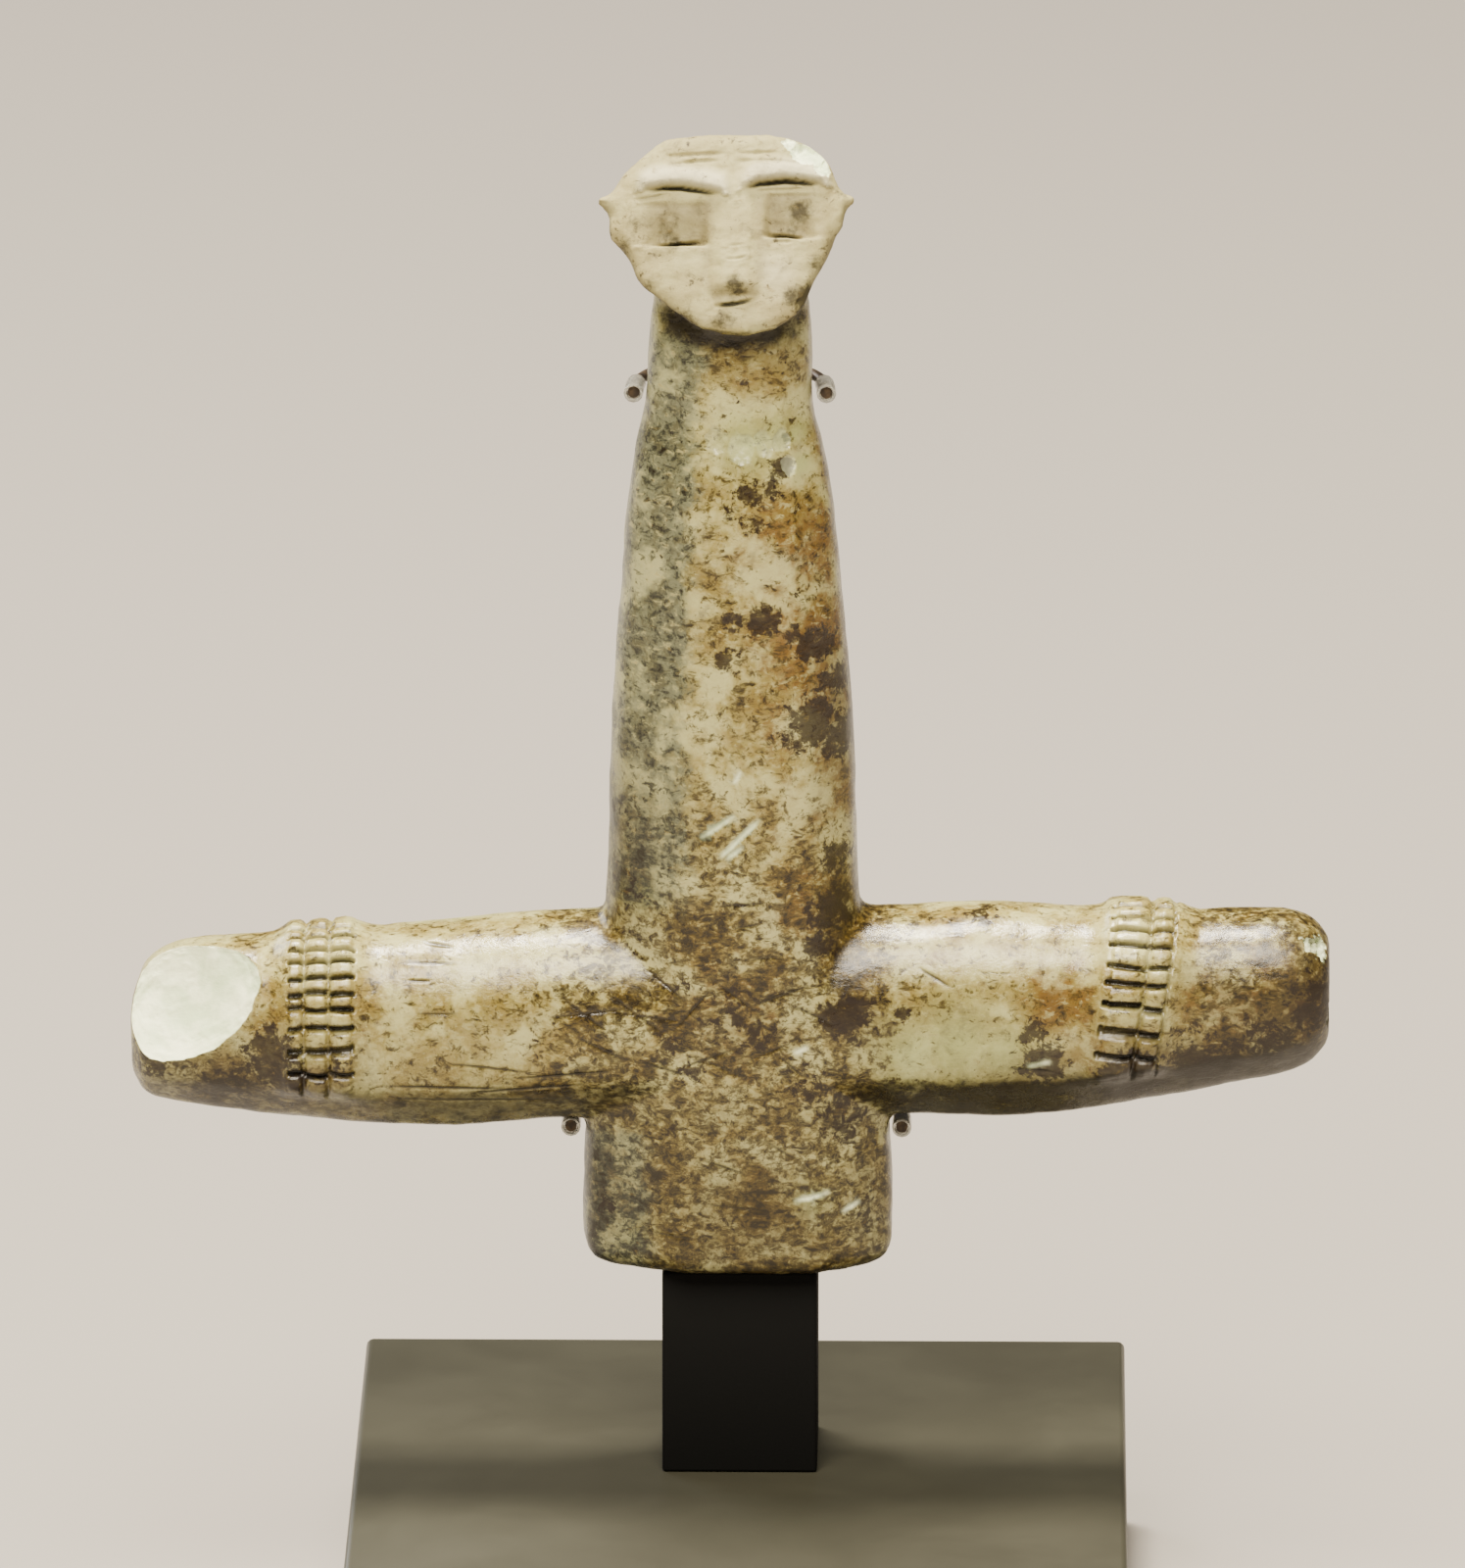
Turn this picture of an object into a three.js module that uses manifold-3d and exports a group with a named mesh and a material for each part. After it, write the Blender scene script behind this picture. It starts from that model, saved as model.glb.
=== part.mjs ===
// Cruciform stone figurine on its display stand.
//
// The figurine is one carved stone: a long neck rising from a short stub, a pair of
// outstretched arms with a raised bracelet on each, and a small tilted head.
// The stand is a square foot, a short square post, a strap up the back and two bent
// wires, one round the neck and one under the arms, with clear sleeves on their tips.
//
// Millimetres, +Z up, the viewer at -Y and the viewer's right at +X. The origin is on
// the surface that the foot stands on, below the middle of the arm span.

import * as THREE from 'three';
import { mergeVertices } from 'three/addons/utils/BufferGeometryUtils.js';
import Module from 'manifold-3d';

const wasm = await Module();
wasm.setup();

const { degToRad, radToDeg, smoothstep } = THREE.MathUtils;

// Driving sizes of the stand
const FOOT_WIDTH = 60;
const FOOT_HEIGHT = 15;
const FOOT_CHAMFER = 0.5;
const STAND_X = 0.8;
const POST_Y = 1.4;
const POST_WIDTH = 12;
const POST_HEIGHT = 16.3;
const POST_CHAMFER = 0.2;
const SPINE_WIDTH = 5;
const SPINE_THICKNESS = 2;
const SPINE_START = 6;
const SPINE_ABOVE_WIRE = 2;
const WIRE_DIAMETER = 0.9;
const SLEEVE_OUTER = 1.5;
const SLEEVE_BORE = 1.1;
const SLEEVE_LENGTH = 3;
const SLEEVE_PAST_WIRE = 0.35;
const GAP = 0.3;

// Where the figurine stands: its stub's underside just clear of the post
const FIGURE_Y = POST_Y - 1.9;
const FIGURE_BASE = FOOT_HEIGHT + POST_HEIGHT + GAP;

// The shaft, from the stub's underside to inside the head:
// height, half width, half depth, sideways shift of the middle, and how square
// its left and right front corners are
const SHAFT = [
  [0, 10.6, 5.9, 0.6, 3, 4],
  [0.4, 11.35, 6.25, 0.6, 3, 4],
  [1.3, 11.85, 6.4, 0.6, 2.9, 3.8],
  [3, 11.95, 6.5, 0.6, 2.8, 3.6],
  [7.5, 11.9, 6.6, 0.6, 2.7, 3.4],
  [11.5, 11.6, 6.8, 0.55, 2.6, 3.2],
  [16, 11.1, 7.05, 0.4, 2.5, 3],
  [23, 10.3, 7.3, 0.25, 2.4, 2.9],
  [30.5, 9.65, 7.6, 0.2, 2.3, 2.8],
  [38, 9.5, 7.6, 0.2, 2.3, 2.8],
  [46, 9.1, 7.3, 0.15, 2.3, 2.8],
  [54, 8.45, 6.9, 0.1, 2.3, 2.8],
  [61.5, 7.75, 6.4, 0, 2.3, 2.8],
  [65.7, 7, 5.9, -0.05, 2.3, 2.7],
  [67.8, 6.5, 5.6, -0.05, 2.3, 2.6],
  [72.4, 6.3, 5.4, 0, 2.3, 2.5],
  [76, 6, 5.1, 0.1, 2.3, 2.5],
  [79.5, 5, 4.2, 0.2, 2.3, 2.5],
];
const SHAFT_SIDES = 32;

// The arms, from the broken left end to the blunt right end:
// place across, half height, half depth, height of the middle
const ARMS = [
  [-46.25, 3, 2.6, 17.8],
  [-45.4, 4.8, 4.3, 18.1],
  [-43.8, 5.8, 5.2, 18.5],
  [-41.1, 6.4, 5.6, 18.7],
  [-38.1, 6.7, 5.8, 18.6],
  [-35.5, 6.95, 5.95, 18.45],
  [-31.5, 7.25, 6.15, 18.4],
  [-27.6, 7.6, 6.35, 18.4],
  [-20, 8, 6.6, 18.75],
  [-14, 8, 6.75, 19.3],
  [0, 8.05, 6.85, 19.6],
  [14, 8.05, 6.7, 19.85],
  [20.2, 8.3, 6.55, 19.9],
  [27.4, 7.8, 6.3, 20],
  [31.4, 7.35, 6.1, 20.25],
  [35.4, 6.98, 5.9, 20.6],
  [39.7, 6.6, 5.7, 21.1],
  [43.8, 6.04, 5.4, 21.5],
  [45.3, 5.2, 4.7, 21.55],
  [46.25, 3.9, 3.5, 21.6],
];
const ARM_SQUARENESS = 2.4;
const ARM_SIDES = 32;

// The bracelets: place across, lean, what stands proud of the arm at each offset,
// the columns of cells between the ring grooves (offset and length), and the rows
// of cuts from the top of the arm round its front
const BRACELETS = [
  {
    middle: -31.5,
    lean: 0,
    profile: [
      [-3, -0.3], [-2.6, 0.5], [-1.6, 0.7], [-1.25, 0.25], [-0.95, 0.75],
      [0.3, 0.75], [0.6, 0.25], [0.95, 0.75], [2.2, 0.7], [2.8, -0.3],
    ],
    columns: [[-2.1, 1], [-0.3, 1.7], [1.6, 1.9]],
    firstRow: 9,
    rowStep: 10.4,
    rows: 10,
  },
  {
    middle: 31.2,
    lean: 8.6,
    profile: [
      [-3.2, -0.3], [-2.8, 0.75], [-1.6, 0.9], [0, 0.85], [0.4, 0.3],
      [0.9, 0.85], [2, 0.8], [2.3, 0.35], [2.7, 0.6], [3.1, -0.3],
    ],
    columns: [[-1.4, 2.4], [1.45, 1.7]],
    firstRow: 8,
    rowStep: 12,
    rows: 9,
  },
];
const BRACELET_SIDES = 36;
const BRACELET_SUNK = 0.3;
// A bracelet runs round the top, the front and the back, and dies away underneath
const BRACELET_FADE_FROM = 105;
const BRACELET_FADE_TO = 130;
const ROW_CUT_HEIGHT = 0.8;
const ROW_CUT_WIDTH = 0.6;
const ROW_CUT_DEPTH = 0.6;

// The head: a thick slab whose face leans back, with its outline seen square on,
// from the crown round by the viewer's left, across and up the face
const HEAD_PLACE = new THREE.Vector3(0.23, -4.4, 82.75);
const FACE_LEAN = 28;
const FACE = [
  [-0.2, 7.9], [-3.6, 7.7], [-5.6, 7.2], [-7.7, 5.5], [-8.9, 3.7], [-9.3, 1.4],
  [-8.6, -0.9], [-6.9, -3.6], [-4.9, -5.1], [-3.4, -6.2], [-1.7, -6.95], [0.9, -7.15],
  [2.9, -6.7], [4.7, -5.5], [6.4, -3.2], [7.7, -0.4], [8.4, 2.2], [7.9, 4.4],
  [6.7, 6], [5, 7.3], [3, 7.8],
];
const FACE_SIDES = 42;
// Depth behind the face and scale of the outline there, from the back to the front
const HEAD_SLICES = [
  [11.3, 0.35], [10.2, 0.6], [8.4, 0.8], [5.5, 0.94], [2.6, 1],
  [0.8, 1], [0, 0.93], [-0.25, 0.75], [-0.45, 0.4],
];

// Ear nubs: across, up, half sizes along, up and deep
const EARS = [
  { across: -9.2, up: 1.7, size: [0.8, 1, 1.2] },
  { across: 8.4, up: 2.5, size: [0.75, 0.65, 1.1] },
];

// Raised brows: across, up, length, height, how proud, turn
const BROWS = [
  { across: -3.2, up: 4.75, length: 6.4, height: 1.6, proud: 0.5, turn: 9 },
  { across: 3.6, up: 4.95, length: 6.8, height: 1.5, proud: 0.5, turn: -5.5 },
];

// The nose: a long low ridge from between the brows to just above the mouth
const NOSE = { across: 0.35, top: 4.3, tip: -4.4, topWidth: 1.8, tipWidth: 3, proud: 0.7, turn: 2.5 };

// Eye fields sunk below the brows: across, up, width, height, depth, turn
const EYE_FIELDS = [
  { across: -5.2, up: 0.55, width: 5.6, height: 3.3, depth: 0.45, turn: 1 },
  { across: 4.35, up: 1.35, width: 4.3, height: 3.2, depth: 0.45, turn: 4 },
];

// Slits cut in the face: across, up, length, width, depth, turn
const SLITS = [
  { across: -3.8, up: 3.25, length: 5.8, width: 0.75, depth: 1, turn: -2 },
  { across: 4.1, up: 3.98, length: 5, width: 0.75, depth: 1, turn: 1 },
  { across: -4.4, up: -0.9, length: 4.6, width: 0.65, depth: 0.9, turn: 6 },
  { across: 4.2, up: -0.2, length: 3, width: 0.65, depth: 0.9, turn: -6 },
  { across: 0.7, up: -5.42, length: 3, width: 0.6, depth: 0.8, turn: 7 },
  { across: -3.2, up: 6, length: 4.6, width: 0.35, depth: 0.4, turn: 4 },
  { across: 3.2, up: 5.95, length: 4.8, width: 0.35, depth: 0.4, turn: -4 },
];

// The broken left end: a shallow dish facing the viewer, leftwards and up
const SCAR_PLACE = new THREE.Vector3(-41.4, -4.4, 22.5);
const SCAR_FACING = new THREE.Vector3(-0.42, -0.74, 0.52).normalize();
const SCAR_RADIUS = 13;
const SCAR_SINK = 2.6;

// Small chips off the right end and the crown: place, half sizes
const CHIPS = [
  { place: [46, -3.6, 26.4], size: [1.9, 1.8, 1.6] },
  { place: [46.7, -4.4, 21.5], size: [1.1, 1.6, 2.6] },
  { place: [6, -4.4, 89.5], size: [1.6, 1.1, 0.9] },
];

// Half of each wire's route, from behind the stone round to the right tip:
// across from the wire's middle, deep, high
const WIRE_BEHIND = 7.2;
const NECK_WIRE_HEIGHT = 69.1;
const NECK_ROUTE = [
  [0, WIRE_BEHIND, NECK_WIRE_HEIGHT], [2.6, WIRE_BEHIND, NECK_WIRE_HEIGHT],
  [4.8, 6.7, NECK_WIRE_HEIGHT], [6.2, 5.3, NECK_WIRE_HEIGHT], [7, 3.4, NECK_WIRE_HEIGHT],
  [7.3, 1.4, NECK_WIRE_HEIGHT], [7.4, -0.7, NECK_WIRE_HEIGHT],
];
const ARM_WIRE_HEIGHT = 10.3;
const ARM_ROUTE = [
  [0, WIRE_BEHIND, ARM_WIRE_HEIGHT], [6, WIRE_BEHIND, ARM_WIRE_HEIGHT],
  [10.4, WIRE_BEHIND, ARM_WIRE_HEIGHT], [12.3, 6.2, ARM_WIRE_HEIGHT],
  [12.8, 4.2, ARM_WIRE_HEIGHT], [12.8, 1.5, ARM_WIRE_HEIGHT + 0.1],
  [12.8, -1.2, ARM_WIRE_HEIGHT + 0.2],
];
const NECK_WIRE_MIDDLE = 0;
const ARM_WIRE_MIDDLE = 0.5;
const WIRE_SIDES = 8;
const WIRE_STEPS = 32;
const SLEEVE_STEPS = 4;

// Materials, in the colours of the photograph
const stone = new THREE.MeshStandardMaterial({ color: 0xbcab7c, roughness: 0.38, metalness: 0 });
const blackPaint = new THREE.MeshStandardMaterial({ color: 0x161614, roughness: 0.6, metalness: 0 });
const footPaint = new THREE.MeshStandardMaterial({ color: 0x242420, roughness: 0.35, metalness: 0 });
const wirePaint = new THREE.MeshStandardMaterial({ color: 0x4a3f33, roughness: 0.45, metalness: 0.6 });
const clearSleeve = new THREE.MeshStandardMaterial({
  color: 0xd9d8cc, roughness: 0.15, metalness: 0, transparent: true, opacity: 0.45,
});

// A closed body through rings of equal count, each counterclockwise seen from ahead
function loft(rings) {
  const sides = rings[0].length;
  const positions = rings.flat().flatMap((point) => point.toArray());
  const index = [];
  for (let ring = 0; ring < rings.length - 1; ring += 1) {
    for (let side = 0; side < sides; side += 1) {
      const a = ring * sides + side;
      const b = ring * sides + ((side + 1) % sides);
      index.push(a, b, b + sides, a, b + sides, a + sides);
    }
  }
  const ends = [rings[0], rings[rings.length - 1]];
  ends.forEach((end, which) => {
    const middle = new THREE.Vector3();
    end.forEach((point) => middle.addScaledVector(point, 1 / sides));
    const hub = positions.length / 3;
    positions.push(...middle.toArray());
    const start = which === 0 ? 0 : (rings.length - 1) * sides;
    for (let side = 0; side < sides; side += 1) {
      const a = start + side;
      const b = start + ((side + 1) % sides);
      index.push(hub, which === 0 ? b : a, which === 0 ? a : b);
    }
  });
  const geometry = new THREE.BufferGeometry();
  geometry.setAttribute('position', new THREE.Float32BufferAttribute(positions, 3));
  geometry.setIndex(index);
  return geometry;
}

// Cosine and sine of a rounded rectangle: squareness 2 is an ellipse
function oval(turn, squareness) {
  const power = 2 / squareness;
  const soften = (value) => Math.sign(value) * Math.abs(value) ** power;
  return [soften(Math.cos(turn)), soften(Math.sin(turn))];
}

// Reads a list of stations at any place between them
function reader(stations) {
  const places = stations.map((station) => station[0]);
  const values = stations.flatMap((station) => station.slice(1));
  const curve = new THREE.CubicInterpolant(places, values, stations[0].length - 1);
  return (place) => Array.from(curve.evaluate(place));
}

// Turns a closed geometry into a solid that can be joined and cut
function solid(geometry) {
  geometry.deleteAttribute('normal');
  geometry.deleteAttribute('uv');
  const merged = mergeVertices(geometry, 1e-5);
  return new wasm.Manifold(new wasm.Mesh({
    numProp: 3,
    vertProperties: Float32Array.from(merged.getAttribute('position').array),
    triVerts: Uint32Array.from(merged.getIndex().array),
  }));
}

function geometryOf(body) {
  const mesh = body.getMesh();
  const geometry = new THREE.BufferGeometry();
  geometry.setAttribute('position', new THREE.BufferAttribute(mesh.vertProperties, 3));
  geometry.setIndex(new THREE.BufferAttribute(mesh.triVerts, 1));
  geometry.computeVertexNormals();
  return geometry;
}

function shaft() {
  return loft(SHAFT.map(([height, halfWidth, halfDepth, shift, leftSquare, rightSquare]) => (
    Array.from({ length: SHAFT_SIDES }, (_, k) => {
      const turn = (2 * Math.PI * k) / SHAFT_SIDES;
      const [across, deep] = oval(turn, Math.cos(turn) < 0 ? leftSquare : rightSquare);
      return new THREE.Vector3(shift + halfWidth * across, halfDepth * deep, height);
    })
  )));
}

// A point of the arm's surface: place across, turn about the arm, how far proud
const armAt = reader(ARMS);
function armPoint(place, turn, proud) {
  const [halfHeight, halfDepth, middle] = armAt(place);
  const [deep, high] = oval(turn, ARM_SQUARENESS);
  return new THREE.Vector3(
    place,
    (halfDepth + proud) * deep,
    middle + (halfHeight + proud) * high,
  );
}

function arms() {
  return loft(ARMS.map(([place]) => Array.from(
    { length: ARM_SIDES },
    (_, k) => armPoint(place, (2 * Math.PI * k) / ARM_SIDES, 0),
  )));
}

// Leans a bracelet's point with its height above the arm's middle
function leaned(point, bracelet) {
  const above = point.z - armAt(bracelet.middle)[2];
  return point.setX(point.x + above * Math.tan(degToRad(bracelet.lean)));
}

function band(bracelet) {
  return loft(bracelet.profile.map(([offset, proud]) => Array.from(
    { length: BRACELET_SIDES },
    (_, k) => {
      const turn = (2 * Math.PI * k) / BRACELET_SIDES;
      const fromTop = radToDeg(Math.acos(Math.sin(turn)));
      const left = 1 - smoothstep(fromTop, BRACELET_FADE_FROM, BRACELET_FADE_TO);
      const height = (proud + BRACELET_SUNK) * left - BRACELET_SUNK;
      return leaned(armPoint(bracelet.middle + offset, turn, height), bracelet);
    },
  )));
}

// The cuts across a bracelet's columns, from the top of the arm round its front
function bandCuts(bracelet) {
  const cuts = [];
  for (let row = 0; row < bracelet.rows; row += 1) {
    const fromTop = degToRad(bracelet.firstRow + row * bracelet.rowStep);
    const turn = Math.PI / 2 + fromTop;
    bracelet.columns.forEach(([offset, length]) => {
      const place = leaned(armPoint(bracelet.middle + offset, turn, ROW_CUT_HEIGHT), bracelet);
      const cut = new THREE.OctahedronGeometry(1);
      cut.scale(length / 2 + 0.2, ROW_CUT_WIDTH / 2, ROW_CUT_DEPTH);
      cut.rotateX(fromTop);
      cut.translate(place.x, place.y, place.z);
      cuts.push(cut);
    });
  }
  return cuts;
}

// The face's own frame: X across it, Y up it, Z out of it
const faceFrame = new THREE.Matrix4()
  .makeRotationX(degToRad(90 - FACE_LEAN))
  .setPosition(HEAD_PLACE);

function onFace(geometry, across, up, out = 0, turn = 0) {
  geometry.rotateZ(degToRad(turn));
  geometry.translate(across, up, out);
  return geometry.applyMatrix4(faceFrame);
}

function headBlock() {
  const outline = new THREE.CatmullRomCurve3(
    FACE.map(([across, up]) => new THREE.Vector3(across, up, 0)),
    true,
    'centripetal',
  );
  const points = outline.getSpacedPoints(FACE_SIDES).slice(0, FACE_SIDES);
  return onFace(loft(HEAD_SLICES.map(([depth, scale]) => points.map(
    (point) => new THREE.Vector3(point.x * scale, point.y * scale, -depth),
  ))), 0, 0);
}

function ear({ across, up, size }) {
  return onFace(new THREE.OctahedronGeometry(1, 1).scale(...size), across, up, -1);
}

function brow({ across, up, length, height, proud, turn }) {
  const bar = new THREE.SphereGeometry(1, 12, 8).scale(length / 2, height / 2, proud + 0.35);
  return onFace(bar, across, up, 0.1, turn);
}

function nose() {
  const { across, top, tip, topWidth, tipWidth, proud, turn } = NOSE;
  const bar = new THREE.CylinderGeometry(topWidth / 2, tipWidth / 2, top - tip, 12);
  bar.scale(1, 1, (2 * proud) / tipWidth);
  return onFace(bar, across, (top + tip) / 2, 0.35, turn);
}

function eyeField({ across, up, width, height, depth, turn }) {
  const above = 2;
  const block = new THREE.BoxGeometry(width, height, depth + above);
  return onFace(block, across, up, (above - depth) / 2 + 0.3, turn);
}

function slit({ across, up, length, width, depth, turn }) {
  const cut = new THREE.OctahedronGeometry(1).scale(length / 2, width / 2, depth);
  return onFace(cut, across, up, 0.25, turn);
}

function scar() {
  const centre = SCAR_PLACE.clone().addScaledVector(SCAR_FACING, SCAR_RADIUS - SCAR_SINK);
  return new THREE.SphereGeometry(SCAR_RADIUS, 30, 20).translate(...centre.toArray());
}

function chip({ place, size }) {
  return new THREE.OctahedronGeometry(1, 1).scale(...size).translate(...place);
}

function figurine() {
  const bodies = [shaft(), arms(), headBlock(), ...BRACELETS.map(band), ...EARS.map(ear)];
  const block = bodies.map(solid).reduce((whole, body) => whole.add(body));
  const sunk = EYE_FIELDS.map(eyeField).map(solid).reduce((rest, cut) => rest.subtract(cut), block);
  const raised = [...BROWS.map(brow), nose()].map(solid).reduce((whole, body) => whole.add(body), sunk);
  const cuts = [...SLITS.map(slit), ...BRACELETS.flatMap(bandCuts), scar(), ...CHIPS.map(chip)];
  const carved = cuts.map(solid).reduce((rest, cut) => rest.subtract(cut), raised);
  return geometryOf(carved);
}

// A square block standing at a height, its top edges chamfered
function block(width, middleY, base, height, chamfer) {
  const square = (half, level) => [[1, 1], [-1, 1], [-1, -1], [1, -1]].map(
    ([x, y]) => new THREE.Vector3(STAND_X + x * half, middleY + y * half, level),
  );
  const half = width / 2;
  return loft([
    square(half, base),
    square(half, base + height - chamfer),
    square(half - chamfer, base + height),
  ]);
}

function spine() {
  const start = FOOT_HEIGHT + SPINE_START;
  const end = FIGURE_BASE + NECK_WIRE_HEIGHT + SPINE_ABOVE_WIRE;
  const strap = new THREE.BoxGeometry(SPINE_WIDTH, SPINE_THICKNESS, end - start);
  const behind = POST_Y + POST_WIDTH / 2 + SPINE_THICKNESS / 2;
  return strap.translate(STAND_X, behind, (start + end) / 2);
}

// A wire's whole route, from the left tip behind the stone to the right tip
function wireRoute(half, middle) {
  const right = half.map(([x, y, z]) => new THREE.Vector3(middle + x, y, z));
  const left = half.slice(1).map(([x, y, z]) => new THREE.Vector3(middle - x, y, z));
  return new THREE.CatmullRomCurve3([...left.reverse(), ...right], false, 'centripetal');
}

// The stretch of a route between two distances from its left tip
function stretch(route, from, to, steps) {
  const length = route.getLength();
  const points = Array.from({ length: steps + 1 }, (_, k) => {
    const distance = from + ((to - from) * k) / steps;
    return route.getPointAt(distance / length);
  });
  return new THREE.CatmullRomCurve3(points);
}

function circle(diameter, sides) {
  return Array.from({ length: sides }, (_, k) => {
    const turn = (2 * Math.PI * k) / sides;
    return new THREE.Vector2(Math.cos(turn), Math.sin(turn)).multiplyScalar(diameter / 2);
  });
}

function wire(route) {
  const length = route.getLength();
  const path = stretch(route, SLEEVE_PAST_WIRE, length - SLEEVE_PAST_WIRE, WIRE_STEPS);
  const section = new THREE.Shape(circle(WIRE_DIAMETER, WIRE_SIDES));
  return new THREE.ExtrudeGeometry(section, {
    steps: WIRE_STEPS, extrudePath: path, bevelEnabled: false,
  });
}

function sleeve(route, side) {
  const length = route.getLength();
  const from = side === 'left' ? 0 : length - SLEEVE_LENGTH;
  const section = new THREE.Shape(circle(SLEEVE_OUTER, WIRE_SIDES));
  section.holes.push(new THREE.Path(circle(SLEEVE_BORE, WIRE_SIDES)));
  return new THREE.ExtrudeGeometry(section, {
    steps: SLEEVE_STEPS,
    extrudePath: stretch(route, from, from + SLEEVE_LENGTH, SLEEVE_STEPS),
    bevelEnabled: false,
  });
}

function named(name, geometry, material) {
  const mesh = new THREE.Mesh(geometry, material);
  mesh.name = name;
  return mesh;
}

// What stands in the figurine's own frame: the stone and the wires that hold it
const held = new THREE.Group();
held.position.set(0, FIGURE_Y, FIGURE_BASE);
held.add(named('figurine', figurine(), stone));

const neckRoute = wireRoute(NECK_ROUTE, NECK_WIRE_MIDDLE);
const armRoute = wireRoute(ARM_ROUTE, ARM_WIRE_MIDDLE);
held.add(named('neck_wire', wire(neckRoute), wirePaint));
held.add(named('arm_wire', wire(armRoute), wirePaint));
['left', 'right'].forEach((side) => {
  held.add(named(`neck_sleeve_${side}`, sleeve(neckRoute, side), clearSleeve));
  held.add(named(`arm_sleeve_${side}`, sleeve(armRoute, side), clearSleeve));
});

const model = new THREE.Group();
model.add(named('foot', block(FOOT_WIDTH, 0, 0, FOOT_HEIGHT, FOOT_CHAMFER), footPaint));
model.add(named('post', block(POST_WIDTH, POST_Y, FOOT_HEIGHT, POST_HEIGHT, POST_CHAMFER), blackPaint));
model.add(named('spine', spine(), blackPaint));
model.add(held);

export default model;
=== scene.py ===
# %% [markdown]
# # A carved stone figurine on its display stand
#
# The object is a small cross-shaped figurine, cut from one soft pale stone and polished by
# handling. It stands on a museum mount: a square foot, a post, and two bent wires in clear
# sleeves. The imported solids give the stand's sizes and the stone's place. This lesson dresses
# them: it models the stone again with its fine carving, rounds the stand's edges, and gives
# each piece its finish.

import math

import bmesh
import bpy
import numpy as np
from mathutils import Matrix, Vector, noise


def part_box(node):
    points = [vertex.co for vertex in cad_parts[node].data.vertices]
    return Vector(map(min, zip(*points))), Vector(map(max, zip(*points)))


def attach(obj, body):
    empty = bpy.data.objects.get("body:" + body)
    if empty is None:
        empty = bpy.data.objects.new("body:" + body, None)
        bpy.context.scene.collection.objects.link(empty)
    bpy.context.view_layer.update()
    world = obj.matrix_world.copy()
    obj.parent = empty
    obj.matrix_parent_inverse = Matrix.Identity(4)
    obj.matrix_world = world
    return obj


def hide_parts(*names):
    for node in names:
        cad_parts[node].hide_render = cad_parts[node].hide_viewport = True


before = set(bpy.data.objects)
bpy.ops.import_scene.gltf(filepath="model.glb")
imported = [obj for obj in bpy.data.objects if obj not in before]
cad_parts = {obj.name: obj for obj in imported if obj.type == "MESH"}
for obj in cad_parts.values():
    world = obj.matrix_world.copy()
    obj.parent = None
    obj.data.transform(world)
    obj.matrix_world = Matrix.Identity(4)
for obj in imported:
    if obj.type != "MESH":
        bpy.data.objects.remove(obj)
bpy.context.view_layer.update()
MM = 0.001
print("solids:", sorted(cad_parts))

# %% [markdown]
# ## Small helpers for modelling
#
# The long bodies of the stone are all made in one way. A circle is added, and its face is
# extruded from one station to the next, as a carver's stock would be drawn through changing
# sections. Each new loop of the extrusion is laid on the outline of that station. A station
# list is read on a smooth curve, so the few measured sections give a fair, flowing body.


# %% Read a station list on a smooth curve
def between(stations, place):
    """The values of a list of stations at one place or several, on a smooth curve."""
    table = np.array(stations, float)
    places, values = table[:, 0], table[:, 1:]
    slopes = np.gradient(values, places, axis=0)
    place = np.atleast_1d(place)
    k = np.clip(np.searchsorted(places, place) - 1, 0, len(places) - 2)
    span = (places[k + 1] - places[k])[:, None]
    t = np.clip((place - places[k])[:, None] / span, 0, 1)
    return (
        (2 * t**3 - 3 * t**2 + 1) * values[k]
        + (t**3 - 2 * t**2 + t) * span * slopes[k]
        + (3 * t**2 - 2 * t**3) * values[k + 1]
        + (t**3 - t**2) * span * slopes[k + 1]
    )


def ramp(value, low, high):
    """0 below low, 1 above high, and a soft step between them."""
    t = np.clip((value - low) / (high - low), 0, 1)
    return t * t * (3 - 2 * t)


def distances_along(path):
    """The distance walked along a path at each of its points."""
    return np.r_[0, np.cumsum(np.linalg.norm(np.diff(path, axis=0), axis=1))]


print("a soft step, a quarter of the way up:", round(float(ramp(0.25, 0, 1)), 3))


# %% Extrude a circle through a list of rings
def deselect():
    bpy.ops.object.select_all(action="DESELECT")


def extruded(name, rings):
    """A closed body: a circle's face extruded once for each ring, its loop laid on that ring."""
    deselect()
    bpy.ops.mesh.primitive_circle_add(vertices=len(rings[0]), radius=1, fill_type="NGON")
    piece = bpy.context.object
    piece.name = name
    bpy.ops.object.mode_set(mode="EDIT")
    mesh = bmesh.from_edit_mesh(piece.data)
    spoke = mesh.verts.layers.int.new("spoke")
    for k, corner in enumerate(mesh.verts):
        corner[spoke] = k
        corner.co = rings[0][k]
    for ring in rings[1:]:
        bmesh.update_edit_mesh(piece.data)
        bpy.ops.mesh.extrude_region_move()
        mesh = bmesh.from_edit_mesh(piece.data)
        spoke = mesh.verts.layers.int["spoke"]
        for corner in mesh.verts:
            if corner.select:
                corner.co = ring[corner[spoke]]
    bmesh.update_edit_mesh(piece.data)
    bpy.ops.mesh.select_all(action="SELECT")
    bpy.ops.mesh.normals_make_consistent(inside=False)
    bpy.ops.object.mode_set(mode="OBJECT")
    print(name, "extruded through", len(rings), "rings")
    return piece


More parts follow.
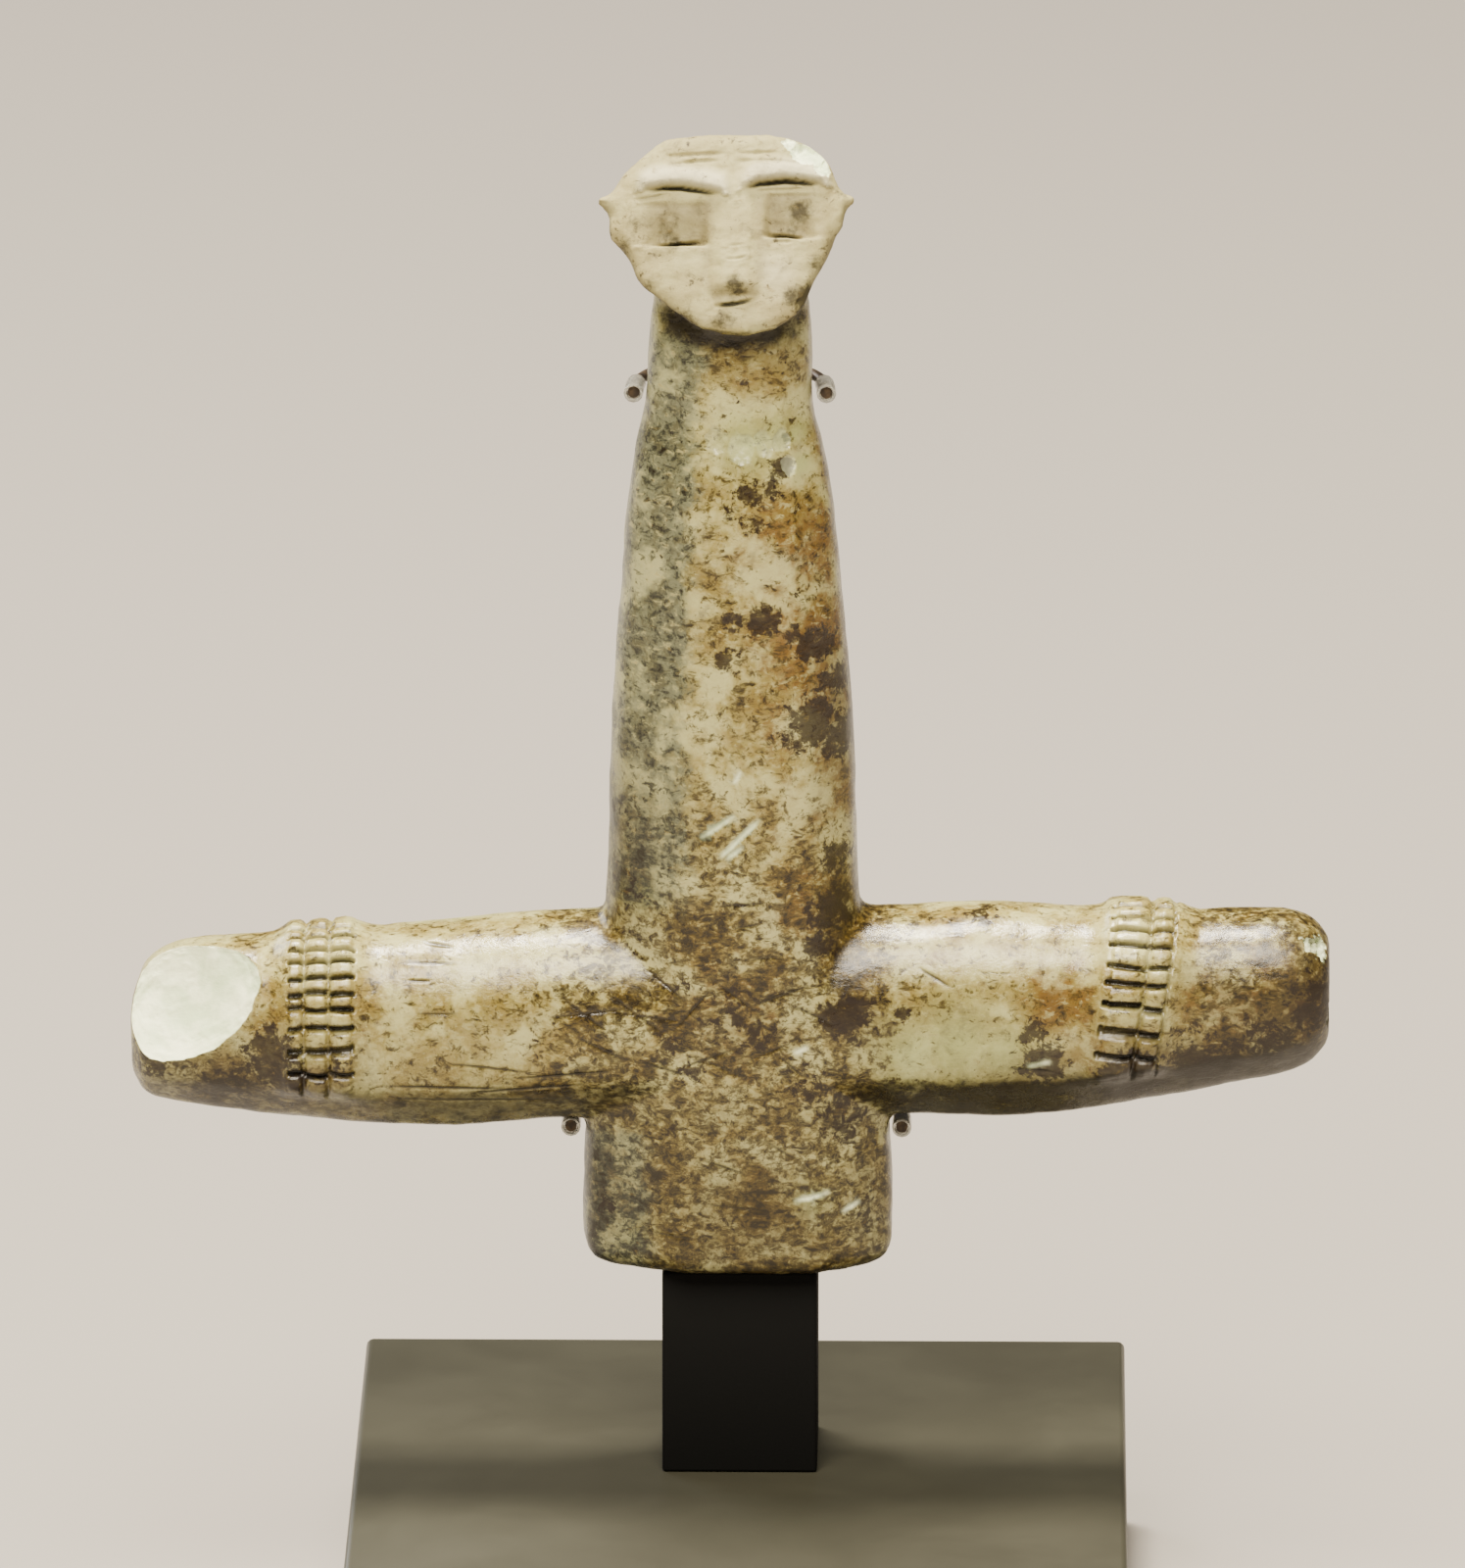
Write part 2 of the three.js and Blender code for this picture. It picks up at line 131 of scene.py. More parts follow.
# %% [markdown]
# ## The shaft: neck and stub
#
# The neck and the stub below the arms are one tapering bar. Its section is a rounded
# rectangle, squarer at the stub, and the maker left it in flats: a broad front, and a long
# facet down the left front. That facet is painted greyer than the rest, partly the stone's
# own tone and partly painted shade. The flats are planed off the rounded section, almost
# down to the plane, so that their edges stay soft.

# %% Stations of the shaft
# height above the stub's underside, half width, half depth, shift, left and right squareness
SHAFT = [
    [0, 10.6, 5.9, 0.6, 3, 4],
    [0.4, 11.35, 6.25, 0.6, 3, 4],
    [1.3, 11.85, 6.4, 0.6, 2.9, 3.8],
    [3, 11.95, 6.5, 0.6, 2.8, 3.6],
    [7.5, 11.9, 6.6, 0.6, 2.7, 3.4],
    [11.5, 11.6, 6.8, 0.55, 2.6, 3.2],
    [16, 11.1, 7.05, 0.4, 2.5, 3],
    [23, 10.3, 7.3, 0.25, 2.4, 2.9],
    [30.5, 9.65, 7.6, 0.2, 2.3, 2.8],
    [38, 9.5, 7.6, 0.2, 2.3, 2.8],
    [46, 9.1, 7.3, 0.15, 2.3, 2.8],
    [54, 8.45, 6.9, 0.1, 2.3, 2.8],
    [61.5, 7.75, 6.4, 0, 2.3, 2.8],
    [65.7, 7, 5.9, -0.05, 2.3, 2.7],
    [67.8, 6.5, 5.6, -0.05, 2.3, 2.6],
    [72.4, 6.3, 5.4, 0, 2.3, 2.5],
    [76, 6, 5.1, 0.1, 2.3, 2.5],
    [79.5, 5, 4.2, 0.2, 2.3, 2.5],
]
# flats of the section scaled to 1: outward direction across and deep, distance, how flat
SHAFT_FLATS = [(-0.611, -0.792, 0.985, 0.9), (0, -1, 0.965, 0.7), (0.8, -0.6, 1.035, 0.8)]
RING_STEP = 1.0
RING_CORNERS = 72
print("shaft:", len(SHAFT), "stations,", len(SHAFT_FLATS), "flats")


# %% Rings with rounded corners and planed flats
def rounded(turn, squareness):
    """Cosine and sine of a rounded rectangle: squareness 2 is an ellipse."""
    power = 2 / np.array(squareness)
    cosine, sine = np.cos(turn), np.sin(turn)
    return np.sign(cosine) * abs(cosine) ** power, np.sign(sine) * abs(sine) ** power


def planed(across, deep, flats):
    """The points that stand beyond a flat, moved back almost to its plane."""
    for n_across, n_deep, distance, flatness in flats:
        beyond = np.maximum(across * n_across + deep * n_deep - distance, 0) * flatness
        across = across - beyond * n_across
        deep = deep - beyond * n_deep
    return across, deep


def places_along(stations):
    """The stations' own places and even steps between them."""
    ends = stations[0][0], stations[-1][0]
    return np.unique(np.r_[[s[0] for s in stations], np.arange(ends[0], ends[1], RING_STEP)])


turns = np.arange(RING_CORNERS) * 2 * np.pi / RING_CORNERS
print("ring corners:", len(turns))

# %% Build the shaft
shaft_rings = []
for height in places_along(SHAFT):
    half_width, half_depth, shift, left, right = between(SHAFT, height)[0]
    across, deep = rounded(turns, np.where(np.cos(turns) < 0, left, right))
    across, deep = planed(across, deep, SHAFT_FLATS)
    level = np.full(RING_CORNERS, height)
    shaft_rings.append(np.c_[shift + half_width * across, half_depth * deep, level])
shaft = extruded("shaft", shaft_rings)

# %% [markdown]
# ## The arms
#
# The arms are one spindle across the shaft, thickest near the body. The underside is planed
# to a flat that starts at a soft edge along the lower front. The left end is broken later,
# and the right end is cut off blunt.

# %% Stations of the arms
# place across, half height, half depth, height of the middle
ARMS = [
    [-46.25, 3, 2.6, 17.8],
    [-45.4, 4.8, 4.3, 18.1],
    [-43.8, 5.8, 5.2, 18.5],
    [-41.1, 6.4, 5.6, 18.7],
    [-38.1, 6.7, 5.8, 18.6],
    [-35.5, 6.95, 5.95, 18.45],
    [-31.5, 7.25, 6.15, 18.4],
    [-27.6, 7.6, 6.35, 18.4],
    [-20, 8, 6.6, 18.75],
    [-14, 8, 6.75, 19.3],
    [0, 8.05, 6.85, 19.6],
    [14, 8.05, 6.7, 19.85],
    [20.2, 8.3, 6.55, 19.9],
    [27.4, 7.8, 6.3, 20],
    [31.4, 7.35, 6.1, 20.25],
    [35.4, 6.98, 5.9, 20.6],
    [39.7, 6.6, 5.7, 21.1],
    [43.8, 6.04, 5.4, 21.5],
    [45.3, 5.2, 4.7, 21.55],
    [46.25, 3.9, 3.5, 21.6],
]
ARM_SQUARENESS = 2.4
ARM_FLATS = [(-0.675, -0.738, 0.995, 0.85)]
print("arms:", len(ARMS), "stations")

# %% Build the arms
arm_rings = []
for place in places_along(ARMS):
    half_height, half_depth, middle = between(ARMS, place)[0]
    deep, high = rounded(turns, ARM_SQUARENESS)
    deep, high = planed(deep, high, ARM_FLATS)
    across = np.full(RING_CORNERS, place)
    arm_rings.append(np.c_[across, half_depth * deep, middle + half_height * high])
arms = extruded("arms", arm_rings)

# %% [markdown]
# ## The head
#
# The head is a thick slab like a small shield, with its face leaning back. It is modelled in
# the face's own frame: across, up the face, and out of it. The outline is drawn once and
# extruded backwards while it shrinks, and the ears are two small nubs on the rim.

# %% Outline and slices of the head
HEAD_PLACE = Vector((0.23, -4.4, 82.75))
FACE_LEAN = 28
FACE_OUTLINE = [
    [-0.9, 7.9], [-3.5, 7.8], [-5.7, 7.35], [-7.1, 6.0], [-8.0, 5.2], [-9.0, 3.5],
    [-9.35, 1.4], [-8.7, -0.6], [-7.8, -2.1], [-7.0, -4.1], [-5.1, -5.7], [-3.2, -7.3],
    [-1.5, -8.05], [0.9, -8.3], [3.1, -7.8], [5.0, -6.6], [6.2, -4.0], [7.3, -1.6],
    [7.75, 0.1], [8.2, 2.2], [8.05, 3.6], [7.7, 4.8], [7.2, 5.9], [5.4, 7.3], [3.9, 7.75],
]
# depth behind the face, scale of the outline there, how far the jaw is drawn up
HEAD_SLICES = [
    [-11.3, 0.35, 0.8], [-10.2, 0.6, 0.78], [-8.4, 0.8, 0.74], [-5.5, 0.94, 0.7],
    [-2.6, 1, 0.74], [-1, 1, 0.93], [-0.35, 0.98, 0.99], [0, 0.94, 1], [0.2, 0.81, 1],
    [0.32, 0.6, 1], [0.38, 0.3, 1],
]
OUTLINE_CORNERS = 96
CURVE_POINTS = 2000
SLICE_STEP = 0.8
print("face outline:", len(FACE_OUTLINE), "points,", len(HEAD_SLICES), "slices behind it")


# %% The face's frame and its outline
def closed_curve(points, count):
    """Points at even steps along a smooth closed curve through the given ones."""
    points = np.array(points, float)
    loop = np.r_[points[-2:], points, points[:3]]
    steps = distances_along(loop)
    dense = between(np.c_[steps, loop], np.linspace(steps[2], steps[-3], CURVE_POINTS))
    walked = distances_along(dense)
    even = np.linspace(0, walked[-1], count, endpoint=False)
    return np.c_[np.interp(even, walked, dense[:, 0]), np.interp(even, walked, dense[:, 1])]


face_frame = Matrix.Translation(HEAD_PLACE) @ Matrix.Rotation(math.radians(90 - FACE_LEAN), 4, "X")
face_turn = np.array(face_frame.to_3x3())


def from_face(points):
    """Points given across, up and out of the face, in the stone's own frame."""
    return np.asarray(points) @ face_turn.T + np.array(face_frame.translation)


def on_face(points):
    """Across, up and out of the face, for points of the stone."""
    return (points - np.array(face_frame.translation)) @ face_turn


outline = closed_curve(FACE_OUTLINE, OUTLINE_CORNERS)
print("mask:", np.ptp(outline, axis=0).round(1), "mm across and up")

# %% Build the head
slices = []
for out in np.unique(np.r_[[s[0] for s in HEAD_SLICES], np.arange(-11, 0, SLICE_STEP)]):
    scale, drawn_up = between(HEAD_SLICES, out)[0]
    slice_outline = outline * scale
    slice_outline[:, 1] *= np.where(outline[:, 1] < 0, drawn_up, 1)
    slices.append(from_face(np.c_[slice_outline, np.full(len(outline), out)]))
head = extruded("head", slices)

# %% Ears
# across, up and out of the face, half sizes, turn in the face's plane
EARS = [
    ((-9.5, 2.6, -1), (1.15, 0.5, 1.1), 0),
    ((-8.75, 0.75, -1), (0.75, 1.5, 1.0), -14),
    ((8.55, 2.85, -1), (0.95, 0.5, 1.0), 0),
    ((8.1, 1.6, -1), (0.5, 1.3, 0.9), 8),
]


def nub(place, half_sizes, turn):
    """A small round lump on the rim of the mask."""
    deselect()
    bpy.ops.mesh.primitive_uv_sphere_add(segments=20, ring_count=12, radius=1)
    piece = bpy.context.object
    sized = Matrix.Diagonal(Vector((*half_sizes, 1)))
    turned = Matrix.Rotation(math.radians(turn), 4, "Z")
    piece.data.transform(face_frame @ Matrix.Translation(place) @ turned @ sized)
    return piece


ears = [nub(*ear) for ear in EARS]
print("ears:", len(ears))

# %% [markdown]
# ## One stone
#
# The real thing is a single piece, so the bodies are joined and rebuilt as one skin with the
# Remesh modifier. It makes one even net of small quads, which is what carving needs: every
# spot can be pushed in or out. A Smooth modifier then wears the joints to a small fillet.

# %% Helpers to pick a piece and apply a modifier
def activate(piece):
    deselect()
    piece.select_set(True)
    bpy.context.view_layer.objects.active = piece


def apply_modifier(piece, kind, **settings):
    """Adds a modifier with its settings and applies it."""
    activate(piece)
    modifier = piece.modifiers.new(kind.title(), kind)
    for setting, value in settings.items():
        setattr(modifier, setting, value)
    bpy.ops.object.modifier_apply(modifier=modifier.name)


def triangle_count(piece):
    return sum(len(face.vertices) - 2 for face in piece.data.polygons)


print("the shaft alone:", triangle_count(shaft), "triangles")

# %% Join the bodies and rebuild them as one skin
NET_SIZE = 0.5
activate(shaft)
for body in [arms, head, *ears]:
    body.select_set(True)
bpy.ops.object.join()
stone = bpy.context.object
stone.name = "carved_stone"
apply_modifier(stone, "REMESH", mode="VOXEL", voxel_size=NET_SIZE)
apply_modifier(stone, "SMOOTH", factor=0.5, iterations=5)
print("one skin:", triangle_count(stone), "triangles")

# %% [markdown]
# ## A finer net where the carving is
#
# Slits a third of a millimetre wide need a finer net than the plain surfaces. Only the faces
# near the carving are subdivided, once in a margin and once more close to the lines, so the
# stone stays light. The new points are smoothed, since subdividing alone keeps flat quads.


# %% Points of the stone, and how to reach them
def read_points(piece, what):
    flat = np.empty(len(piece.data.vertices) * 3, np.float32)
    piece.data.vertices.foreach_get(what, flat)
    return flat.reshape(-1, 3).astype(float)


def points_of(piece):
    return read_points(piece, "co")


def normals_of(piece):
    return read_points(piece, "normal")


def put_points(piece, points):
    piece.data.vertices.foreach_set("co", points.astype(np.float32).ravel())
    piece.data.update()


print("points to carve:", len(points_of(stone)))


# %% Subdivide the faces that a test picks
def refine(piece, near):
    """Subdivides the faces whose corners are all near, then smooths their points."""
    points_near = near(points_of(piece))
    loops = np.empty(len(piece.data.loops), np.int32)
    piece.data.loops.foreach_get("vertex_index", loops)
    starts = np.empty(len(piece.data.polygons), np.int32)
    piece.data.polygons.foreach_get("loop_start", starts)
    chosen = np.minimum.reduceat(points_near[loops], starts)
    activate(piece)
    bpy.ops.object.mode_set(mode="EDIT")
    bpy.ops.mesh.select_mode(type="FACE")
    bpy.ops.mesh.select_all(action="DESELECT")
    bpy.ops.object.mode_set(mode="OBJECT")
    piece.data.polygons.foreach_set("select", chosen)
    bpy.ops.object.mode_set(mode="EDIT")
    bpy.ops.mesh.subdivide(number_cuts=1)
    bpy.ops.mesh.vertices_smooth(factor=0.5, repeat=3)
    bpy.ops.object.mode_set(mode="OBJECT")
    print("refined:", int(chosen.sum()), "faces, now", triangle_count(piece), "triangles")


# %% [markdown]
# ## The bracelets' layout
#
# A bracelet is laid out on the unrolled arm: an offset along it, and a turn round it from the
# top. Its profile says how proud the band stands at each offset, its columns lie between the
# ring grooves, and its rows are the turns of the short cuts. The right one leans.

# %% Sizes of the bracelets
# profile: offset and height; columns: first and last offset; rows: turns in degrees
BRACELETS = {
    "left": {
        "middle": -31.5,
        "lean": 0,
        "tilt": -0.3,
        "profile": [
            [-4.9, 0], [-3.7, 0.16], [-3.0, 0.5], [-2.6, 0.8], [-2.2, 0.85], [-1.6, 0.8],
            [-1.25, 0.42], [-0.95, 0.8], [-0.2, 0.92], [0.35, 0.85], [0.65, 0.42],
            [0.95, 0.85], [1.7, 0.92], [2.3, 0.8], [2.65, 0.6], [3.3, 0.33], [4.0, 0.12],
            [4.9, 0],
        ],
        "columns": [[-2.6, -1.25], [-1.25, 0.65], [0.65, 2.75]],
        "rows": [7, 18.7, 29.5, 39.8, 51.5, 61.6, 71.2, 81.8, 91.5, 102.3],
    },
    "right": {
        "middle": 31.2,
        "lean": 8.6,
        "tilt": 1.3,
        "profile": [
            [-5.3, 0], [-4.2, 0.15], [-3.4, 0.42], [-2.95, 0.8], [-2, 0.95], [-0.6, 1.0],
            [0.05, 0.85], [0.35, 0.38], [0.65, 0.8], [1.3, 0.95], [1.9, 0.85], [2.15, 0.35],
            [2.4, 0.62], [2.75, 0.5], [3.2, 0.25], [4.0, 0],
        ],
        "columns": [[-2.95, 0.35], [0.35, 2.15]],
        "rows": [8, 20, 33.5, 45.5, 57.5, 69, 80.5, 92.5, 104],
    },
}
print("rows of cuts:", {side: len(made["rows"]) for side, made in BRACELETS.items()})


# %% Where a point lies on a bracelet
def on_bracelet(points, bracelet):
    """Offset along the arm, and turn in degrees from its top, positive towards the front."""
    half_height, half_depth, middle = between(ARMS, points[:, 0]).T
    lean = np.tan(math.radians(bracelet["lean"]))
    offset = points[:, 0] - bracelet["middle"] - (points[:, 2] - middle) * lean
    high = (points[:, 2] - middle) / half_height
    deep = points[:, 1] / half_depth
    bend = ARM_SQUARENESS / 2
    turn = np.arctan2(-np.sign(deep) * abs(deep) ** bend, np.sign(high) * abs(high) ** bend)
    return offset, np.degrees(turn)


crown = on_bracelet(np.array([[BRACELETS["left"]["middle"], 0, 30]]), BRACELETS["left"])
print("above the left bracelet: offset and turn", [float(value[0]) for value in crown])

# %% [markdown]
# ## Lines
#
# Slits and scratches are both lines drawn with a blade. A line is a short path, and each point
# of the stone needs only its distance to the path, how far along it lies and on which side.
# That is worked out for all points at once, which is much faster than cutting with a solid.


# %% Distance to a line
def stroke(across, up, path):
    """Distance to a path, how far along it the nearest spot is, and the signed side."""
    path = np.array(path, float)
    spans = np.linalg.norm(np.diff(path, axis=0), axis=1)
    walked = np.r_[0, np.cumsum(spans)]
    distance = np.full(len(across), 1e9)
    along = np.zeros(len(across))
    side = np.zeros(len(across))
    for k, span in enumerate(spans):
        line = (path[k + 1] - path[k]) / span
        from_start = np.c_[across - path[k][0], up - path[k][1]]
        t = np.clip(from_start @ line, 0, span)
        gap = from_start - t[:, None] * line
        far = np.linalg.norm(gap, axis=1)
        nearer = far < distance
        distance = np.where(nearer, far, distance)
        along = np.where(nearer, (walked[k] + t) / walked[-1], along)
        across_line = line[0] * gap[:, 1] - line[1] * gap[:, 0]
        side = np.where(nearer, np.sign(across_line) * far, side)
    return distance, along, side


tested = stroke(np.array([1.0]), np.array([0.5]), [(0, 0), (2, 0)])
print("distance, share and side of a point by a line:", [float(value[0]) for value in tested])

# %% The lines of the face
# path across and up, width above and below the line, depth
FACE_CUTS = [
    ([(-6.6, 3.25), (-5.2, 3.5), (-3.9, 3.5), (-2.7, 3.3), (-1.0, 2.95)], 0.12, 0.34, 0.7),
    ([(-7.6, 2.55), (-6.3, 2.75), (-4.6, 3.1)], 0.14, 0.3, 0.3),
    ([(0.9, 3.35), (2.1, 3.88), (4.0, 4.1), (5.3, 4.0), (6.7, 3.75)], 0.14, 0.36, 0.8),
    ([(1.2, 3.3), (2.2, 3.3), (4.5, 3.4), (7.0, 3.6)], 0.14, 0.22, 0.2),
    ([(-5.9, -0.98), (-4.2, -0.9), (-2.2, -0.62)], 0.26, 0.2, 0.65),
    ([(-6.9, -1.2), (-5.7, -1.02)], 0.2, 0.15, 0.15),
    ([(2.7, -0.1), (4.0, -0.2), (5.6, -0.45)], 0.26, 0.2, 0.65),
    ([(3.1, -0.75), (4.6, -0.7)], 0.15, 0.15, 0.12),
    ([(-1.4, -5.72), (0.1, -5.57), (1.8, -5.2)], 0.2, 0.24, 0.65),
    ([(-5.2, 5.95), (-3, 6.15), (-0.65, 6.2)], 0.2, 0.3, 0.2),
    ([(-5.1, 5.15), (-3, 5.55), (-0.8, 5.65)], 0.2, 0.25, 0.2),
    ([(0.35, 6.17), (2, 6.3), (3.75, 6.3)], 0.2, 0.3, 0.16),
    ([(0.35, 5.6), (3.2, 5.6), (5.6, 5.3), (6.6, 4.7)], 0.2, 0.25, 0.2),
    ([(-0.6, -2.25), (0.3, -2.2), (1.2, -2.0)], 0.12, 0.15, 0.12),
    ([(-0.4, -1.25), (1.1, -1.0)], 0.12, 0.12, 0.08),
    ([(-0.05, 7.3), (0, 5.6)], 0.15, 0.15, 0.1),
]
print("face lines:", len(FACE_CUTS))

# %% Scratches on the front of the body and arms
# start, end, depth
SCRATCHES = [
    ((-14.0, 20.9), (-7.6, 21.7), 0.14), ((-8.8, 21.4), (-3.2, 20.7), 0.12),
    ((-11.7, 19.4), (-7.6, 17.4), 0.12), ((-6.3, 24.6), (-3.2, 22.3), 0.12),
    ((1.4, 21.9), (6.3, 23.7), 0.13), ((-0.9, 30.1), (2.9, 30.4), 0.1),
    ((0.3, 28.3), (2.4, 28.7), 0.1), ((1.4, 25.8), (4.2, 26.1), 0.1),
    ((-25.4, 24.7), (-20.8, 24.7), 0.1), ((-24.9, 23.5), (-22.9, 23.5), 0.1),
    ((-24.2, 21.1), (-20.8, 21.1), 0.1), ((-23.8, 25.9), (-21.2, 25.7), 0.1),
    ((-22, 17.2), (-15, 16.4), 0.1),
    ((-17, 15.9), (-8.5, 16.6), 0.1), ((-13, 22.6), (-9.2, 19.8), 0.1),
    ((-4.6, 19.6), (-1.2, 23.6), 0.1), ((-3.9, 16.9), (0.8, 18.7), 0.1),
    ((3.4, 18.4), (6.2, 15.9), 0.1), ((-2.2, 5.9), (3.4, 5.3), 0.1),
    ((-27, 15.2), (-17, 15.0), 0.12), ((-20, 14.6), (-11, 15.4), 0.12),
    ((-26, 14.0), (-12, 13.8), 0.08), ((-6.5, 3.4), (-2.2, 3.0), 0.08),
    ((14.4, 24.9), (17.2, 23.3), 0.1), ((21.4, 16.9), (25.2, 16.5), 0.1),
    ((-9.6, 23.0), (-4.4, 19.4), 0.1), ((-1.6, 24.4), (3.0, 21.0), 0.1),
    ((-3.0, 18.2), (1.6, 16.0), 0.1), ((1.0, 17.4), (5.0, 19.2), 0.1),
    ((-6.8, 17.4), (-3.0, 16.2), 0.1), ((4.6, 22.2), (8.2, 20.4), 0.1),
    ((-2.4, 9.6), (1.6, 8.2), 0.08), ((2.6, 11.2), (5.4, 9.4), 0.08),
]
# wider fresh ones, which stay pale
PALE_SCRATCHES = [
    ((-2.3, 35.5), (0.6, 37.5), 0.2), ((-0.8, 33.9), (2.5, 37.2), 0.22),
    ((-0.3, 33.8), (1.2, 35.0), 0.15), ((0.3, 39.8), (1.0, 41.0), 0.12),
    ((4.9, 6.1), (7.9, 6.9), 0.2), ((8.6, 5.0), (10.2, 5.8), 0.15),
    ((4.9, 18.2), (6.2, 18.7), 0.15), ((22.9, 17.0), (24.9, 17.5), 0.15),
]
SCRATCH_WIDTH = 0.16
PALE_SCRATCH_WIDTH = 0.32
print("scratches:", len(SCRATCHES), "fine,", len(PALE_SCRATCHES), "pale")

# %% [markdown]
# ## Hollows
#
# A flake breaks off in a shallow dish, so each break is a ball or an egg pressed into the
# stone. A scoop finds the nearest spot of the stone and sinks into it by a given depth. A bite
# is placed where it is listed, on the rim of the mask or at the blunt end of the arm.

# %% Breaks: hollows pressed into the stone
SCAR_FACING = (-0.42, -0.74, 0.52)
NECK_FACING = (0.1, -1, 0.1)
stone_points = points_of(stone)


def scoop(place, facing, radius, sink, freshness, roughness):
    """A ball pressed into the nearest spot of the stone: middle, half sizes, look."""
    nearest = stone_points[np.linalg.norm(stone_points - place, axis=1).argmin()]
    middle = Vector(nearest) + Vector(facing).normalized() * (radius - sink)
    return np.array(middle), np.full(3, float(radius)), freshness, roughness


def bite(place, half_sizes, freshness, roughness):
    return np.array(place, float), np.array(half_sizes, float), freshness, roughness


HOLLOWS = [
    # the lost flake of the left end, with a ridge where two of its hollows meet
    scoop((-41.4, -4.8, 20.9), SCAR_FACING, 12.5, 2.4, 1, 0.08),
    scoop((-39.2, -4.6, 22.9), SCAR_FACING, 8, 1.75, 1, 0.08),
    scoop((-45.0, -3.6, 23.4), (-0.75, -0.45, 0.5), 3.0, 1.65, 1, 0.1),
    # chips off the blunt right end
    bite((46.9, -3.6, 26.9), (2.9, 2.2, 2.1), 0.6, 0.6),
    bite((47.6, -5.2, 24.2), (2.1, 1.9, 1.5), 0.7, 0.5),
    bite((47.8, -3.0, 20.0), (1.8, 2.8, 2.6), 0.1, 0.35),
    # pale chips across the top of the neck
    scoop((-1.2, -6, 66.7), NECK_FACING, 2.6, 0.2, 0.12, 0.12),
    scoop((0.9, -6, 66.3), NECK_FACING, 3.0, 0.26, 0.16, 0.12),
    scoop((2.9, -6, 66.6), NECK_FACING, 2.6, 0.24, 0.16, 0.12),
    scoop((4.6, -6, 67.1), (0.4, -1, 0.1), 1.9, 0.28, 0.2, 0.12),
    scoop((5.3, -6, 64.9), (0.6, -1, 0.1), 1.6, 0.25, 0.2, 0.12),
]
# bites out of the crown and the jaw: place in the face's frame, radius, freshness
FACE_BITES = [
    ((4.8, 8.0, 0.8), 1.7, 1), ((6.3, 7.3, 0.9), 2.2, 1), ((7.5, 6.0, 0.8), 1.7, 1),
    ((-6.0, 7.9, 0.3), 0.9, 0), ((-5.6, -6.2, 0.35), 1.0, 0), ((-3.6, -7.6, 0.3), 0.8, 0),
    ((6.0, -5.7, 0.3), 1.1, 0), ((7.1, -3.3, 0.4), 0.9, 0), ((-8.3, -1.6, 0.4), 0.8, 0),
    ((-7.6, -4.6, 0.4), 0.9, 0), ((4.4, -7.4, 0.3), 0.7, 0), ((8.1, -0.6, 0.4), 0.7, 0),
]
HOLLOWS += [bite(from_face(place), [r, r, r], fresh, 0.3) for place, r, fresh in FACE_BITES]
print("hollows:", len(HOLLOWS))


# %% Distance to a hollow, and natural unevenness
def into_hollow(points, hollow):
    """How far out each point lies from a hollow's middle, with 1 on its skin."""
    middle, half_sizes, _, _ = hollow
    return np.linalg.norm((points - middle) / half_sizes, axis=1)


def unevenness(points, size):
    """Natural noise from about -1 to 1, with bumps of the given size in millimetres."""
    return np.array([noise.fractal(Vector(p) / size, 0.7, 2.1, 3) for p in points])


print("unevenness at three spots:", unevenness(stone_points[:3], 1).round(2))


# %% Where the carving is
def on_the_mask(points):
    across, up, out = on_face(points).T
    return (out > -1.3) & (up > -8) & (up < 9) & (points[:, 1] < 1)


def near_bracelets(points, margin):
    near = np.zeros(len(points), bool)
    for bracelet in BRACELETS.values():
        offset, turn = on_bracelet(points, bracelet)
        near |= (abs(offset) < 3.0 + margin) & (abs(turn) < 130)
    return near


def near_hollow_rims(points, margin):
    near = np.zeros(len(points), bool)
    for hollow in HOLLOWS:
        size = hollow[1].mean()
        near |= abs(into_hollow(points, hollow) - 1) * size < margin
    return near


def near_scratches(points, margin):
    near = np.zeros(len(points), bool)
    for start, end, _ in SCRATCHES + PALE_SCRATCHES:
        near |= stroke(points[:, 0], points[:, 2], [start, end])[0] < margin
    return near & (points[:, 1] < 0)


def near_face_lines(points, margin):
    across, up, out = on_face(points).T
    near = np.zeros(len(points), bool)
    for path, _, _, _ in FACE_CUTS:
        near |= stroke(across, up, path)[0] < margin
    return near & (out > -1.0)


def by_the_carving(points):
    near = on_the_mask(points) | near_bracelets(points, 1.2)
    return near | near_hollow_rims(points, 1.2) | near_scratches(points, 0.7)


def close_to_lines(points):
    near = near_face_lines(points, 0.8) | near_hollow_rims(points, 0.45)
    near |= near_scratches(points, 0.3)
    return near | (near_bracelets(points, 0.1) & (points[:, 1] < 0))


print("points by the carving:", int(by_the_carving(stone_points).sum()))

# %% Refine the net in two steps
refine(stone, by_the_carving)
refine(stone, close_to_lines)

# %% [markdown]
# ## Carving the face
#
# The face is a mask of slits: two upper ones below raised brows, two lower ones at the foot
# of shallow eye fields, and a short one for the mouth, beside a long low nose. The forms are
# added up as one height over the face, in millimetres, and the points are moved along the
# face's own outward direction. Each slit has a steep upper side and a longer lower lip, as a
# blade held downwards leaves it.


# %% Ridges, fields and slits
def brow(across, up, slit, from_side, to_side, height):
    """A ridge along the upper side of a slit: steep towards the slit, long above it."""
    _, _, side = stroke(across, up, slit)
    ends = ramp(across, from_side, from_side + 1.6) * (1 - ramp(across, to_side - 1.3, to_side))
    return height * ramp(side, -0.05, 0.55) * (1 - ramp(side, 0.8, 2.2)) * ends


